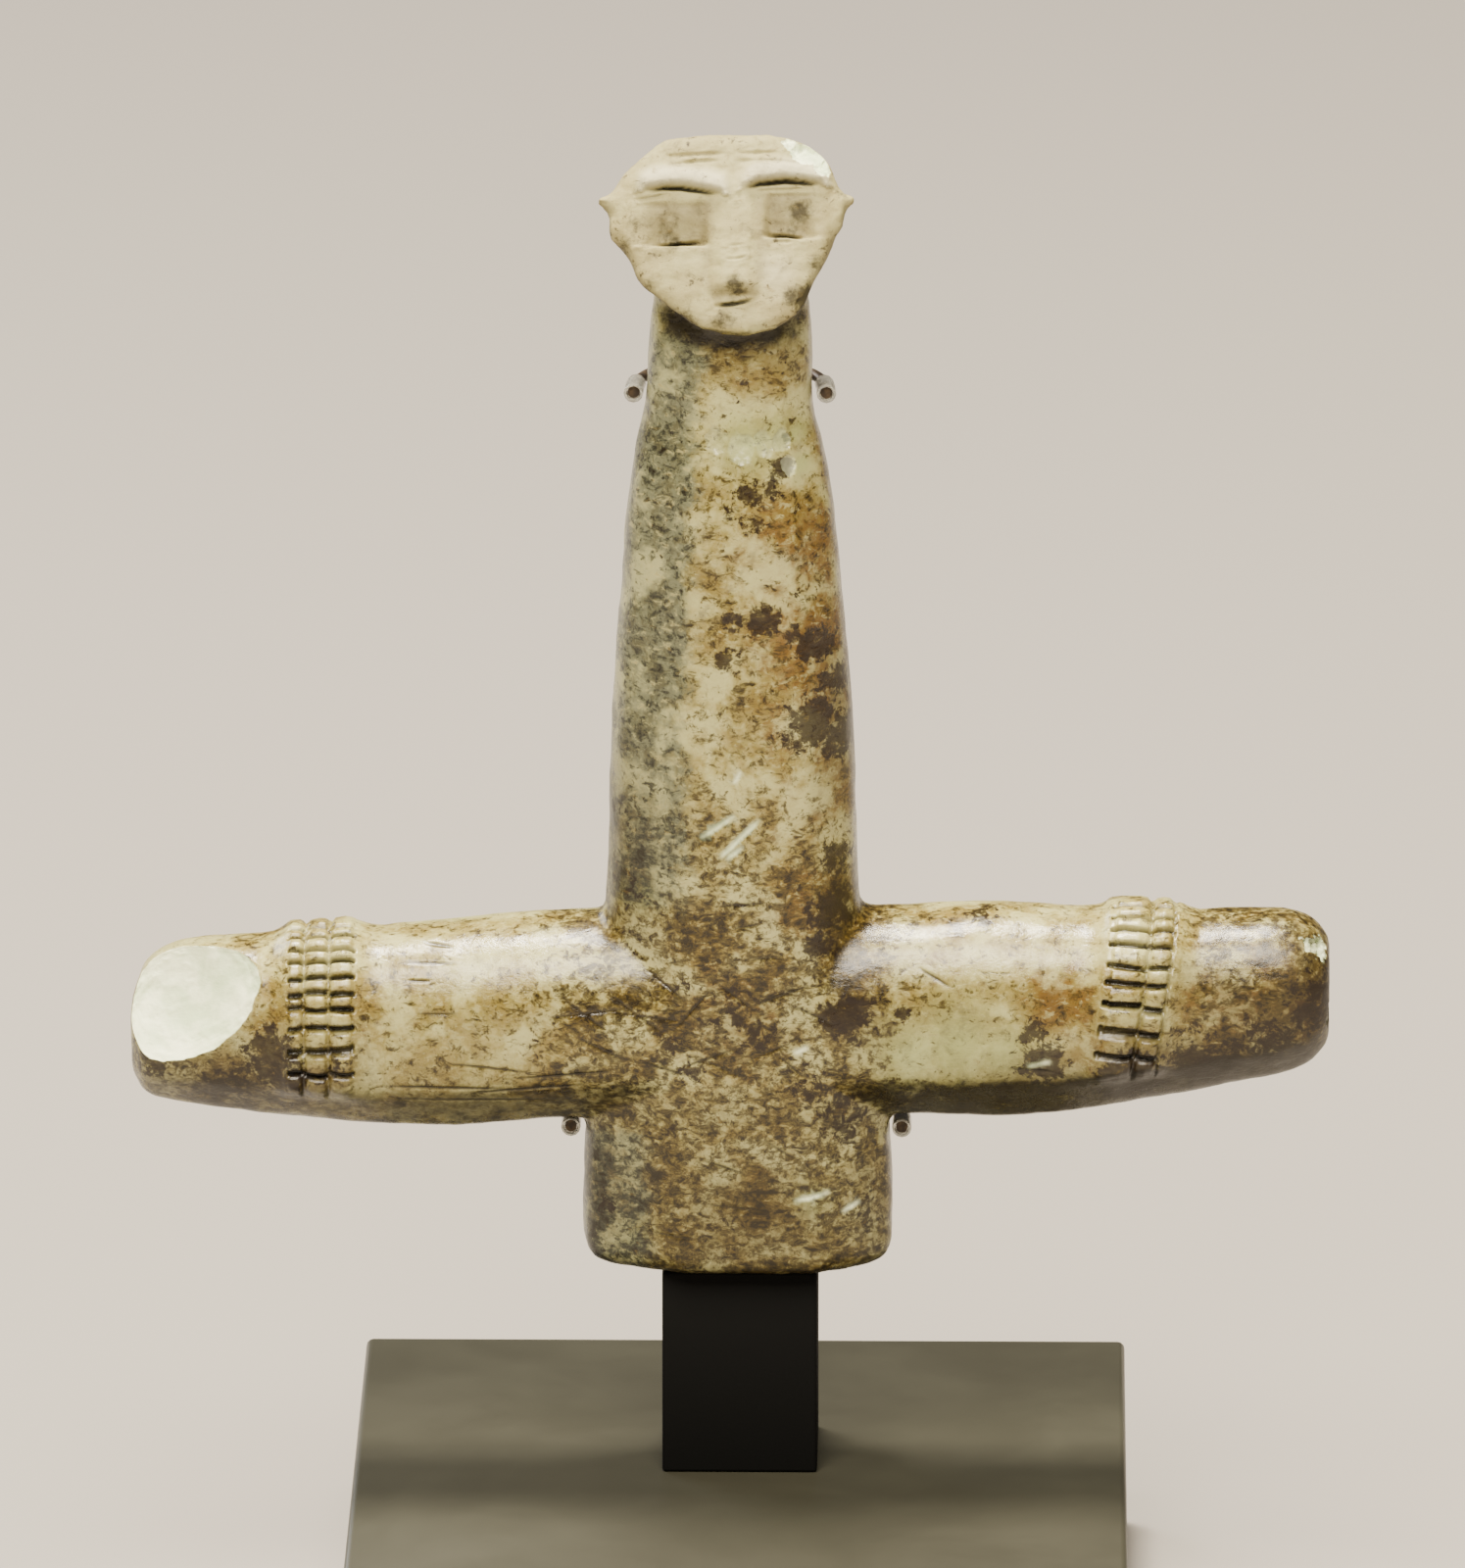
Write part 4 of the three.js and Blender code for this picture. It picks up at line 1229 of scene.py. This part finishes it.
def soft_edges(piece, width):
    apply_modifier(piece, "BEVEL", width=width * MM, segments=2, limit_method="ANGLE")
    bpy.ops.object.shade_smooth_by_angle(angle=math.radians(40))


print("a wire is", WIRE_DIAMETER, "mm thick, a sleeve", SLEEVE_OUTER, "mm")


# %% Bend the wires
def bent_wire(name, node, route):
    length = distances_along(route)[-1]
    path = stretch(route, SLEEVE_PAST_WIRE, length - SLEEVE_PAST_WIRE, WIRE_POINTS)
    piece = round_bar(name, path, WIRE_DIAMETER)
    soft_edges(piece, WIRE_SOFT_EDGE)
    stand_for(piece, node)
    return piece


wires = [
    bent_wire("neck_prong", "neck_wire", neck_route),
    bent_wire("arm_prong", "arm_wire", arm_route),
]
print("wires:", [triangle_count(wire) for wire in wires], "triangles")


# %% Fit the sleeves
def clear_sleeve(name, node, route, side):
    """A tube with a real wall over one tip of a wire."""
    length = distances_along(route)[-1]
    start, end = 0.001, SLEEVE_LENGTH
    if side == "right":
        start, end = length - end, length - start
    path = stretch(route, start, end, SLEEVE_POINTS)
    piece = round_bar(name, path, SLEEVE_OUTER, open_ended=True)
    activate(piece)
    bpy.ops.object.mode_set(mode="EDIT")
    bpy.ops.mesh.select_all(action="SELECT")
    bpy.ops.mesh.remove_doubles(threshold=0.01 * MM)
    bpy.ops.mesh.normals_make_consistent(inside=False)
    bpy.ops.object.mode_set(mode="OBJECT")
    apply_modifier(piece, "SOLIDIFY", thickness=SLEEVE_WALL * MM, offset=-1)
    soft_edges(piece, SLEEVE_SOFT_EDGE)
    stand_for(piece, node)
    return piece


sleeves = []
for side in ("left", "right"):
    sleeves.append(clear_sleeve(f"neck_tip_{side}", f"neck_sleeve_{side}", neck_route, side))
    sleeves.append(clear_sleeve(f"arm_tip_{side}", f"arm_sleeve_{side}", arm_route, side))
print("sleeves:", [triangle_count(sleeve) for sleeve in sleeves], "triangles")

# %% [markdown]
# ## Finishes
#
# The stone is ivory where it is clean, honey and ochre where iron has stained it, and umber
# in blotches and in the cuts. Nothing but noise and the stored masks is needed for that. The
# masks say where, and the noise breaks up their edges. The mottling is a node group, because
# every finish of this part uses it, each with its own size.


# %% Colours
def paint(red, green, blue):
    """A colour read off a screen, from 0 to 255, as a linear colour for a shader."""
    shares = [value / 255 for value in (red, green, blue)]
    linear = [
        share / 12.92 if share <= 0.04045 else ((share + 0.055) / 1.055) ** 2.4
        for share in shares
    ]
    return (*linear, 1)


IVORY = paint(142, 134, 76)
CREAM = paint(168, 159, 104)
PALE_STREAK = paint(182, 178, 126)
PALE_GREEN = paint(152, 158, 100)
HONEY = paint(108, 88, 36)
OCHRE = paint(98, 68, 22)
# Brown washes, which also paint shade on the stub and under the arms.
BROWN_WASH_AND_SHADE = paint(48, 33, 15)
OLIVE = paint(58, 51, 22)
SPECK = paint(56, 45, 17)
# Deep specks, and also the painted shade of the undersides and the chin.
DEEP_SPECK_AND_SHADE = paint(30, 23, 10)
UMBER = paint(28, 17, 9)
DIRT = paint(13, 9, 5)
GREY_GREEN = paint(104, 108, 86)
DARK_GREY_GREEN = paint(66, 67, 52)
FACE_PALE = paint(150, 138, 98)
# A painted highlight for the brows and the cheek.
HIGHLIGHT_PALE = paint(206, 200, 168)
# Dust and painted shade for the face's hollows.
FACE_DUST_AND_SHADE = paint(104, 92, 62)
GREY_SPECK = paint(40, 41, 33)
CELADON = paint(238, 243, 204)
CELADON_DUSTY = paint(198, 212, 168)
print("clean stone:", [round(part, 2) for part in IVORY[:3]])


# %% A sheet to add nodes on
class Sheet:
    """Short ways to add and link nodes in one node tree."""

    def __init__(self, tree):
        self.tree = tree

    def node(self, kind, **settings):
        made = self.tree.nodes.new(kind)
        for setting, value in settings.items():
            setattr(made, setting, value)
        return made

    def link(self, source, target):
        self.tree.links.new(source, target)

    def put(self, target, value):
        if hasattr(value, "is_output"):
            self.link(value, target)
        else:
            target.default_value = value

    def noise(self, place, scale, detail=4.0, roughness=0.6, distortion=0.0):
        made = self.node("ShaderNodeTexNoise")
        self.link(place, made.inputs["Vector"])
        made.inputs["Scale"].default_value = scale
        made.inputs["Detail"].default_value = detail
        made.inputs["Roughness"].default_value = roughness
        made.inputs["Distortion"].default_value = distortion
        return made.outputs["Fac"]

    def span(self, value, low, high, new_low=0.0, new_high=1.0):
        made = self.node("ShaderNodeMapRange", interpolation_type="SMOOTHSTEP")
        self.put(made.inputs["Value"], value)
        made.inputs["From Min"].default_value = low
        made.inputs["From Max"].default_value = high
        made.inputs["To Min"].default_value = new_low
        made.inputs["To Max"].default_value = new_high
        return made.outputs["Result"]

    def maths(self, operation, first, second, clamp=False):
        made = self.node("ShaderNodeMath", operation=operation, use_clamp=clamp)
        self.put(made.inputs[0], first)
        self.put(made.inputs[1], second)
        return made.outputs[0]

    def times(self, value, factor):
        return self.maths("MULTIPLY", value, factor)

    def plus(self, first, second, clamp=False):
        return self.maths("ADD", first, second, clamp)

    def larger(self, first, second):
        return self.maths("MAXIMUM", first, second)

    def mix(self, amount, under, over):
        made = self.node("ShaderNodeMix", data_type="RGBA")
        self.put(made.inputs["Factor"], amount)
        self.put(made.inputs["A"], under)
        self.put(made.inputs["B"], over)
        return made.outputs["Result"]

    def bump(self, height, strength, distance):
        """A bent normal for relief too fine to model; the distance is in millimetres."""
        made = self.node("ShaderNodeBump")
        made.inputs["Strength"].default_value = strength
        made.inputs["Distance"].default_value = distance * MM
        self.link(height, made.inputs["Height"])
        return made.outputs["Normal"]


print("a sheet adds and links:", "noise, spans, sums, products, mixes and bumps")


# %% New materials
def new_material(name):
    made = bpy.data.materials.new(name)
    made.use_nodes = True
    sheet = Sheet(made.node_tree)
    shader = made.node_tree.nodes["Principled BSDF"]
    return made, sheet, shader


def in_millimetres(sheet, scale=(1, 1, 1), tilt=0.0):
    """Object coordinates in millimetres, tilted about the depth and stretched by a scale."""
    place = sheet.node("ShaderNodeTexCoord").outputs["Object"]
    mapping = sheet.node("ShaderNodeMapping")
    sheet.link(place, mapping.inputs["Vector"])
    mapping.inputs["Scale"].default_value = tuple(1000 * side for side in scale)
    mapping.inputs["Rotation"].default_value = (0, tilt, 0)
    return mapping.outputs["Vector"]


def dress(piece, finish):
    piece.data.materials.clear()
    piece.data.materials.append(finish)


print("a finish counts its places in millimetres:", round(1 / MM), "to the metre")


# %% A node group: mottling
def mottling_group():
    group = bpy.data.node_groups.new("Mottling", "ShaderNodeTree")
    face = group.interface
    face.new_socket("Place", in_out="INPUT", socket_type="NodeSocketVector")
    face.new_socket("Size", in_out="INPUT", socket_type="NodeSocketFloat").default_value = 1.0
    face.new_socket("Patches", in_out="OUTPUT", socket_type="NodeSocketFloat")
    face.new_socket("Flecks", in_out="OUTPUT", socket_type="NodeSocketFloat")
    sheet = Sheet(group)
    given = sheet.node("NodeGroupInput")
    result = sheet.node("NodeGroupOutput")
    scaled = sheet.node("ShaderNodeVectorMath", operation="SCALE")
    sheet.link(given.outputs["Place"], scaled.inputs[0])
    sheet.link(given.outputs["Size"], scaled.inputs["Scale"])
    place = scaled.outputs[0]
    patches = sheet.noise(place, 0.26, detail=4, roughness=0.6, distortion=0.3)
    flecks = sheet.noise(place, 1.25, detail=6, roughness=0.7, distortion=0.3)
    sheet.link(patches, result.inputs["Patches"])
    sheet.link(flecks, result.inputs["Flecks"])
    return group


mottling = mottling_group()


def add_mottling(sheet, place, size):
    made = sheet.node("ShaderNodeGroup", node_tree=mottling)
    sheet.link(place, made.inputs["Place"])
    made.inputs["Size"].default_value = size
    return made.outputs["Patches"], made.outputs["Flecks"]


print("node group:", mottling.name)

# %% [markdown]
# ## The stone's finish
#
# The colours are laid over one another in layers: first the clean stone with its rust, and
# the grey facet, whose grey is partly painted shade; then the brown washes, some of which are
# painted shade, and the tones of the face with their painted highlight, dust and painted
# shade; then specks and blotches; and last the painted shade on the undersides and below the
# chin, the dirt in the cuts and the pale breaks. A painted picture could give them, but it
# would show seams and go soft up close. Noise and masks are mixed instead, with one function
# for each layer.


# %% Masks and noises of the stone
def read_masks(sheet):
    """A socket for each mask kept on the stone."""
    sockets = {}
    for attribute, kept in ATTRIBUTES.items():
        source = sheet.node("ShaderNodeAttribute", attribute_name=attribute)
        parts = sheet.node("ShaderNodeSeparateColor")
        sheet.link(source.outputs["Color"], parts.inputs["Color"])
        sockets.update(zip(kept, parts.outputs))
    return sockets


def stone_noises(sheet):
    """Patches, flecks, uneven edges, fine grain and slanting dashes."""
    place = in_millimetres(sheet)
    streaked = in_millimetres(sheet, (0.75, 0.9, 1.4), math.radians(14))
    patches, flecks = add_mottling(sheet, place, 1.0)
    edges = sheet.noise(place, 0.8, detail=6, roughness=0.7, distortion=0.4)
    fine = sheet.noise(place, 2.4, detail=4, roughness=0.65)
    dashes = sheet.noise(streaked, 1.15, detail=6, roughness=0.68, distortion=0.5)
    return patches, flecks, edges, fine, dashes


print("masks for the finish:", ", ".join(masks))


# %% Clean stone, rust, the grey facet with its painted shade, and pale streaks
def clean_colour(sheet, masks, noises):
    patches, _, edges, fine, dashes = noises
    colour = sheet.mix(sheet.span(fine, 0.35, 0.65), IVORY, CREAM)
    in_patches = sheet.span(patches, 0.42, 0.68, 0.0, 0.6)
    warm = sheet.plus(in_patches, sheet.times(masks["ochre"], 0.5), clamp=True)
    warm = sheet.plus(warm, sheet.times(masks["busy"], 0.2), clamp=True)
    colour = sheet.mix(warm, colour, HONEY)
    rusty = sheet.span(sheet.plus(sheet.times(masks["ochre"], 0.42), edges), 0.7, 0.92)
    colour = sheet.mix(sheet.times(rusty, 0.8), colour, OCHRE)
    uneven = sheet.plus(sheet.times(edges, 0.6), sheet.times(patches, 0.5))
    # The grey facet: a grey tone, partly the stone's own and partly painted shade.
    grey_and_shaded_side = sheet.span(sheet.plus(sheet.times(masks["grey"], 0.5), uneven), 0.72, 1.0)
    cool_tone = sheet.mix(sheet.span(edges, 0.38, 0.62), DARK_GREY_GREEN, GREY_GREEN)
    colour = sheet.mix(sheet.times(grey_and_shaded_side, 0.85), colour, cool_tone)
    colour = sheet.mix(sheet.span(dashes, 0.46, 0.32, 0.0, 0.8), colour, PALE_STREAK)
    colour = sheet.mix(sheet.span(patches, 0.53, 0.36, 0.0, 0.6), colour, PALE_STREAK)
    return sheet.mix(sheet.times(masks["pale"], 0.7), colour, PALE_GREEN), grey_and_shaded_side


print("the grey facet is darkest at", [round(part, 2) for part in DARK_GREY_GREEN[:3]])


# %% Washes, partly painted shade, and the tones of the face, with painted highlight and shade
def washed_colour(sheet, masks, noises, colour):
    _, _, edges, fine, _ = noises
    grainy = sheet.plus(sheet.times(edges, 0.5), sheet.times(fine, 0.5))
    # Brown washes, partly stains and partly painted shade on the stub, under the arms and on the lower
    # right bracelet.
    wash = sheet.times(masks["washed_and_shaded"], sheet.span(grainy, 0.4, 0.62, 1.0, 0.5))
    colour = sheet.mix(wash, colour, BROWN_WASH_AND_SHADE)
    colour = sheet.mix(sheet.times(masks["head"], 0.6), colour, FACE_PALE)
    # Dust and painted shade in the face's hollows.
    dust = sheet.span(sheet.plus(sheet.times(masks["dusty"], 0.5), edges), 0.5, 1.15)
    colour = sheet.mix(sheet.times(dust, 0.6), colour, FACE_DUST_AND_SHADE)
    # A painted highlight on the brows and the cheek.
    colour = sheet.mix(sheet.times(masks["painted_highlight"], 0.55), colour, HIGHLIGHT_PALE)
    tint = sheet.span(sheet.plus(sheet.times(masks["tinted"], 0.5), grainy), 0.66, 0.98)
    return sheet.mix(tint, colour, OLIVE)


print("a wash darkens to", [round(part, 3) for part in BROWN_WASH_AND_SHADE[:3]])


# %% Specks and blotches
def specked_colour(sheet, masks, noises, colour, grey_and_shaded_side):
    patches, flecks, edges, _, dashes = noises
    crowd = sheet.plus(sheet.times(patches, 0.24), sheet.times(masks["busy"], 0.12))
    crowd = sheet.maths("SUBTRACT", crowd, sheet.times(masks["pale"], 0.06))
    marks = sheet.plus(sheet.larger(dashes, flecks), crowd)
    light_speck = sheet.mix(grey_and_shaded_side, SPECK, GREY_SPECK)
    colour = sheet.mix(sheet.span(marks, 0.7, 0.8, 0.0, 0.85), colour, light_speck)
    colour = sheet.mix(sheet.span(marks, 0.79, 0.88, 0.0, 0.92), colour, DEEP_SPECK_AND_SHADE)
    blotch = sheet.plus(sheet.times(masks["brown"], 0.42), sheet.larger(edges, flecks))
    colour = sheet.mix(sheet.span(blotch, 0.78, 0.86, 0.0, 0.88), colour, UMBER)
    return sheet.mix(sheet.span(dashes, 0.44, 0.3, 0.0, 0.5), colour, HONEY)


print("a deep speck is", [round(part, 3) for part in DEEP_SPECK_AND_SHADE[:3]])


# %% Painted shade, dirt, scratches and fresh breaks
def dirty_colour(sheet, masks, noises, colour):
    patches, _, edges, _, _ = noises
    # Painted shade on the undersides and below the chin.
    shaded = sheet.span(sheet.plus(sheet.times(masks["under"], 0.7), edges), 0.5, 0.95)
    colour = sheet.mix(sheet.times(shaded, 0.93), colour, DEEP_SPECK_AND_SHADE)
    colour = sheet.mix(sheet.times(masks["dirt"], 0.9), colour, DIRT)
    colour = sheet.mix(sheet.times(masks["scratched"], 0.85), colour, DEEP_SPECK_AND_SHADE)
    clean = sheet.mix(sheet.span(patches, 0.38, 0.62), CELADON, CELADON_DUSTY)
    return sheet.mix(masks["broken"], colour, clean)


def polish(sheet, masks, edges):
    """Rubbed stone shines; the face, fresh breaks and the washes, partly painted shade, are duller."""
    worn = sheet.span(edges, 0.3, 0.7, 0.17, 0.28)
    matt = sheet.larger(sheet.times(masks["head"], 0.48), sheet.times(masks["broken"], 0.3))
    matt = sheet.larger(matt, sheet.times(masks["washed_and_shaded"], 0.2))
    return sheet.plus(worn, matt)


print("dirt in the cuts is", [round(part, 3) for part in DIRT[:3]])

# %% The stone's finish
STONE_SHINE = 0.45


def stone_finish():
    made, sheet, shader = new_material("mottled_stone")
    masks = read_masks(sheet)
    noises = stone_noises(sheet)
    _, _, edges, fine, dashes = noises
    colour, grey_and_shaded_side = clean_colour(sheet, masks, noises)
    colour = washed_colour(sheet, masks, noises, colour)
    colour = specked_colour(sheet, masks, noises, colour, grey_and_shaded_side)
    colour = dirty_colour(sheet, masks, noises, colour)
    relief = sheet.plus(sheet.times(dashes, -0.8), sheet.times(fine, 0.5))
    sheet.link(colour, shader.inputs["Base Color"])
    sheet.link(polish(sheet, masks, edges), shader.inputs["Roughness"])
    sheet.link(sheet.bump(relief, 0.4, 0.15), shader.inputs["Normal"])
    shader.inputs["Specular IOR Level"].default_value = STONE_SHINE
    return made


dress(stone, stone_finish())
print("stone dressed in", stone.data.materials[0].name)

# %% [markdown]
# ## Paint, wire and sleeves
#
# The foot wears an even satin black and the post a duller one. The wire is toned metal, and
# the sleeves are clear soft tubing. Each could be one flat colour, but no real surface is that
# even, so the same mottling gives each two close tones and an uneven polish.


# %% Paint of the foot, the post and the strap
def paint_finish(name, colour, lighter, roughness, dust, shine):
    """Even paint with a little dust in patches and a fine grain."""
    made, sheet, shader = new_material(name)
    place = in_millimetres(sheet)
    patches, _ = add_mottling(sheet, place, 0.25)
    dusty = sheet.span(patches, 0.3, 0.8, 0.0, dust)
    sheet.link(sheet.mix(dusty, colour, lighter), shader.inputs["Base Color"])
    sheet.link(sheet.span(patches, 0, 1, roughness, roughness + 0.08), shader.inputs["Roughness"])
    grain = sheet.noise(place, 5.0, detail=3)
    sheet.link(sheet.bump(grain, 0.15, 0.05), shader.inputs["Normal"])
    shader.inputs["Specular IOR Level"].default_value = shine
    return made


foot_finish = paint_finish("satin_black_foot", paint(51, 50, 40), paint(63, 62, 50), 0.34, 0.5, 0.5)
post_finish = paint_finish("matte_black_post", paint(5, 5, 4), paint(9, 8, 7), 0.7, 0.3, 0.15)
dress(foot, foot_finish)
dress(post, post_finish)
dress(strap, post_finish)
print("painted:", foot.name, post.name, strap.name)


# %% Toned wire and clear sleeves
def patchy_finish(name, colour, other, roughness, rougher):
    """Two close tones in small patches, and a polish that changes from patch to patch."""
    made, sheet, shader = new_material(name)
    patches, flecks = add_mottling(sheet, in_millimetres(sheet), 1.6)
    sheet.link(sheet.mix(sheet.span(flecks, 0.42, 0.6), colour, other), shader.inputs["Base Color"])
    sheet.link(sheet.span(patches, 0.35, 0.65, roughness, rougher), shader.inputs["Roughness"])
    return made, shader


WIRE_TONES = (paint(82, 68, 52), paint(56, 48, 41))
wire_finish, shader = patchy_finish("toned_wire", *WIRE_TONES, 0.34, 0.5)
shader.inputs["Metallic"].default_value = 0.7
for wire in wires:
    dress(wire, wire_finish)

SLEEVE_TONES = (paint(228, 226, 216), paint(208, 204, 190))
sleeve_finish, shader = patchy_finish("clear_tubing", *SLEEVE_TONES, 0.1, 0.2)
shader.inputs["IOR"].default_value = 1.45
shader.inputs["Transmission Weight"].default_value = 0.75
for sleeve in sleeves:
    dress(sleeve, sleeve_finish)
print("finishes:", sorted(material.name for material in bpy.data.materials))

# %% [markdown]
# ## The floor, the light and the camera
#
# A lamp overhead and a little behind shows the polish on top and leaves a deep shadow below
# the chin. A broad soft one in front opens the shadows, a weak one stands at the right, and
# one lights the back. The camera stands where the photographer stood: a little to the side,
# some sixteen degrees above the arms, with a long lens.

# %% Floor
FLOOR_SIZE = 8
deselect()
bpy.ops.mesh.primitive_plane_add(size=FLOOR_SIZE, location=(0, 0, 0))
floor = bpy.context.object
floor.name = "floor"
floor_finish, _, floor_shader = new_material("pale_floor")
floor_shader.inputs["Base Color"].default_value = paint(150, 144, 136)
floor_shader.inputs["Roughness"].default_value = 0.8
dress(floor, floor_finish)
print("floor:", FLOOR_SIZE, "metres wide")

# %% Lamps
AIM = Vector((0, 0, 0.07))
WARM = (1, 0.91, 0.76)


def lamp(name, place, size, power, colour=(1, 1, 1)):
    bpy.ops.object.light_add(type="AREA", location=place)
    made = bpy.context.object
    made.name = name
    made.data.size = size
    made.data.energy = power
    made.data.color = colour
    made.rotation_euler = (AIM - Vector(place)).to_track_quat("-Z", "Y").to_euler()
    print(name, "of", power, "watts")
    return made


lamp("top_lamp", (-0.05, 0.15, 0.94), 0.2, 27.0, WARM)
lamp("front_lamp", (-0.05, -0.535, 0.78), 0.5, 25.0, WARM)
lamp("fill_lamp", (0.6, -0.9, 0.3), 0.6, 0.4)
lamp("back_lamp", (-0.6, 0.6, 0.5), 0.4, 6.0)

# %% The room's own weak light
world = bpy.data.worlds.new("soft_room")
world.use_nodes = True
background = world.node_tree.nodes["Background"]
background.inputs["Color"].default_value = (1, 0.97, 0.93, 1)
background.inputs["Strength"].default_value = 0.06
bpy.context.scene.world = world
print("room light:", round(background.inputs["Strength"].default_value, 2))

# %% Camera
CAMERA_HIGH = math.radians(16)
CAMERA_ASIDE = math.radians(0.8)
CAMERA_FAR = 1.6
FRAME_HIGH = 0.1208
SENSOR = 36
TARGET_ASIDE = 0.00019
TARGET_ABOVE_STUB = 0.0378
target = Vector((TARGET_ASIDE, FIGURE_DEEP * MM, figure_low.z + TARGET_ABOVE_STUB))
away = Vector((
    math.sin(CAMERA_ASIDE) * math.cos(CAMERA_HIGH),
    -math.cos(CAMERA_ASIDE) * math.cos(CAMERA_HIGH),
    math.sin(CAMERA_HIGH),
))
bpy.ops.object.camera_add(location=target + away * CAMERA_FAR)
camera = bpy.context.object
camera.rotation_euler = (-away).to_track_quat("-Z", "Y").to_euler()
camera.data.sensor_fit = "VERTICAL"
camera.data.sensor_height = SENSOR
camera.data.lens = SENSOR * CAMERA_FAR / FRAME_HIGH
camera.data.clip_start = 0.01
camera.data.clip_end = 50
bpy.context.scene.camera = camera
print("camera lens:", round(camera.data.lens), "mm")
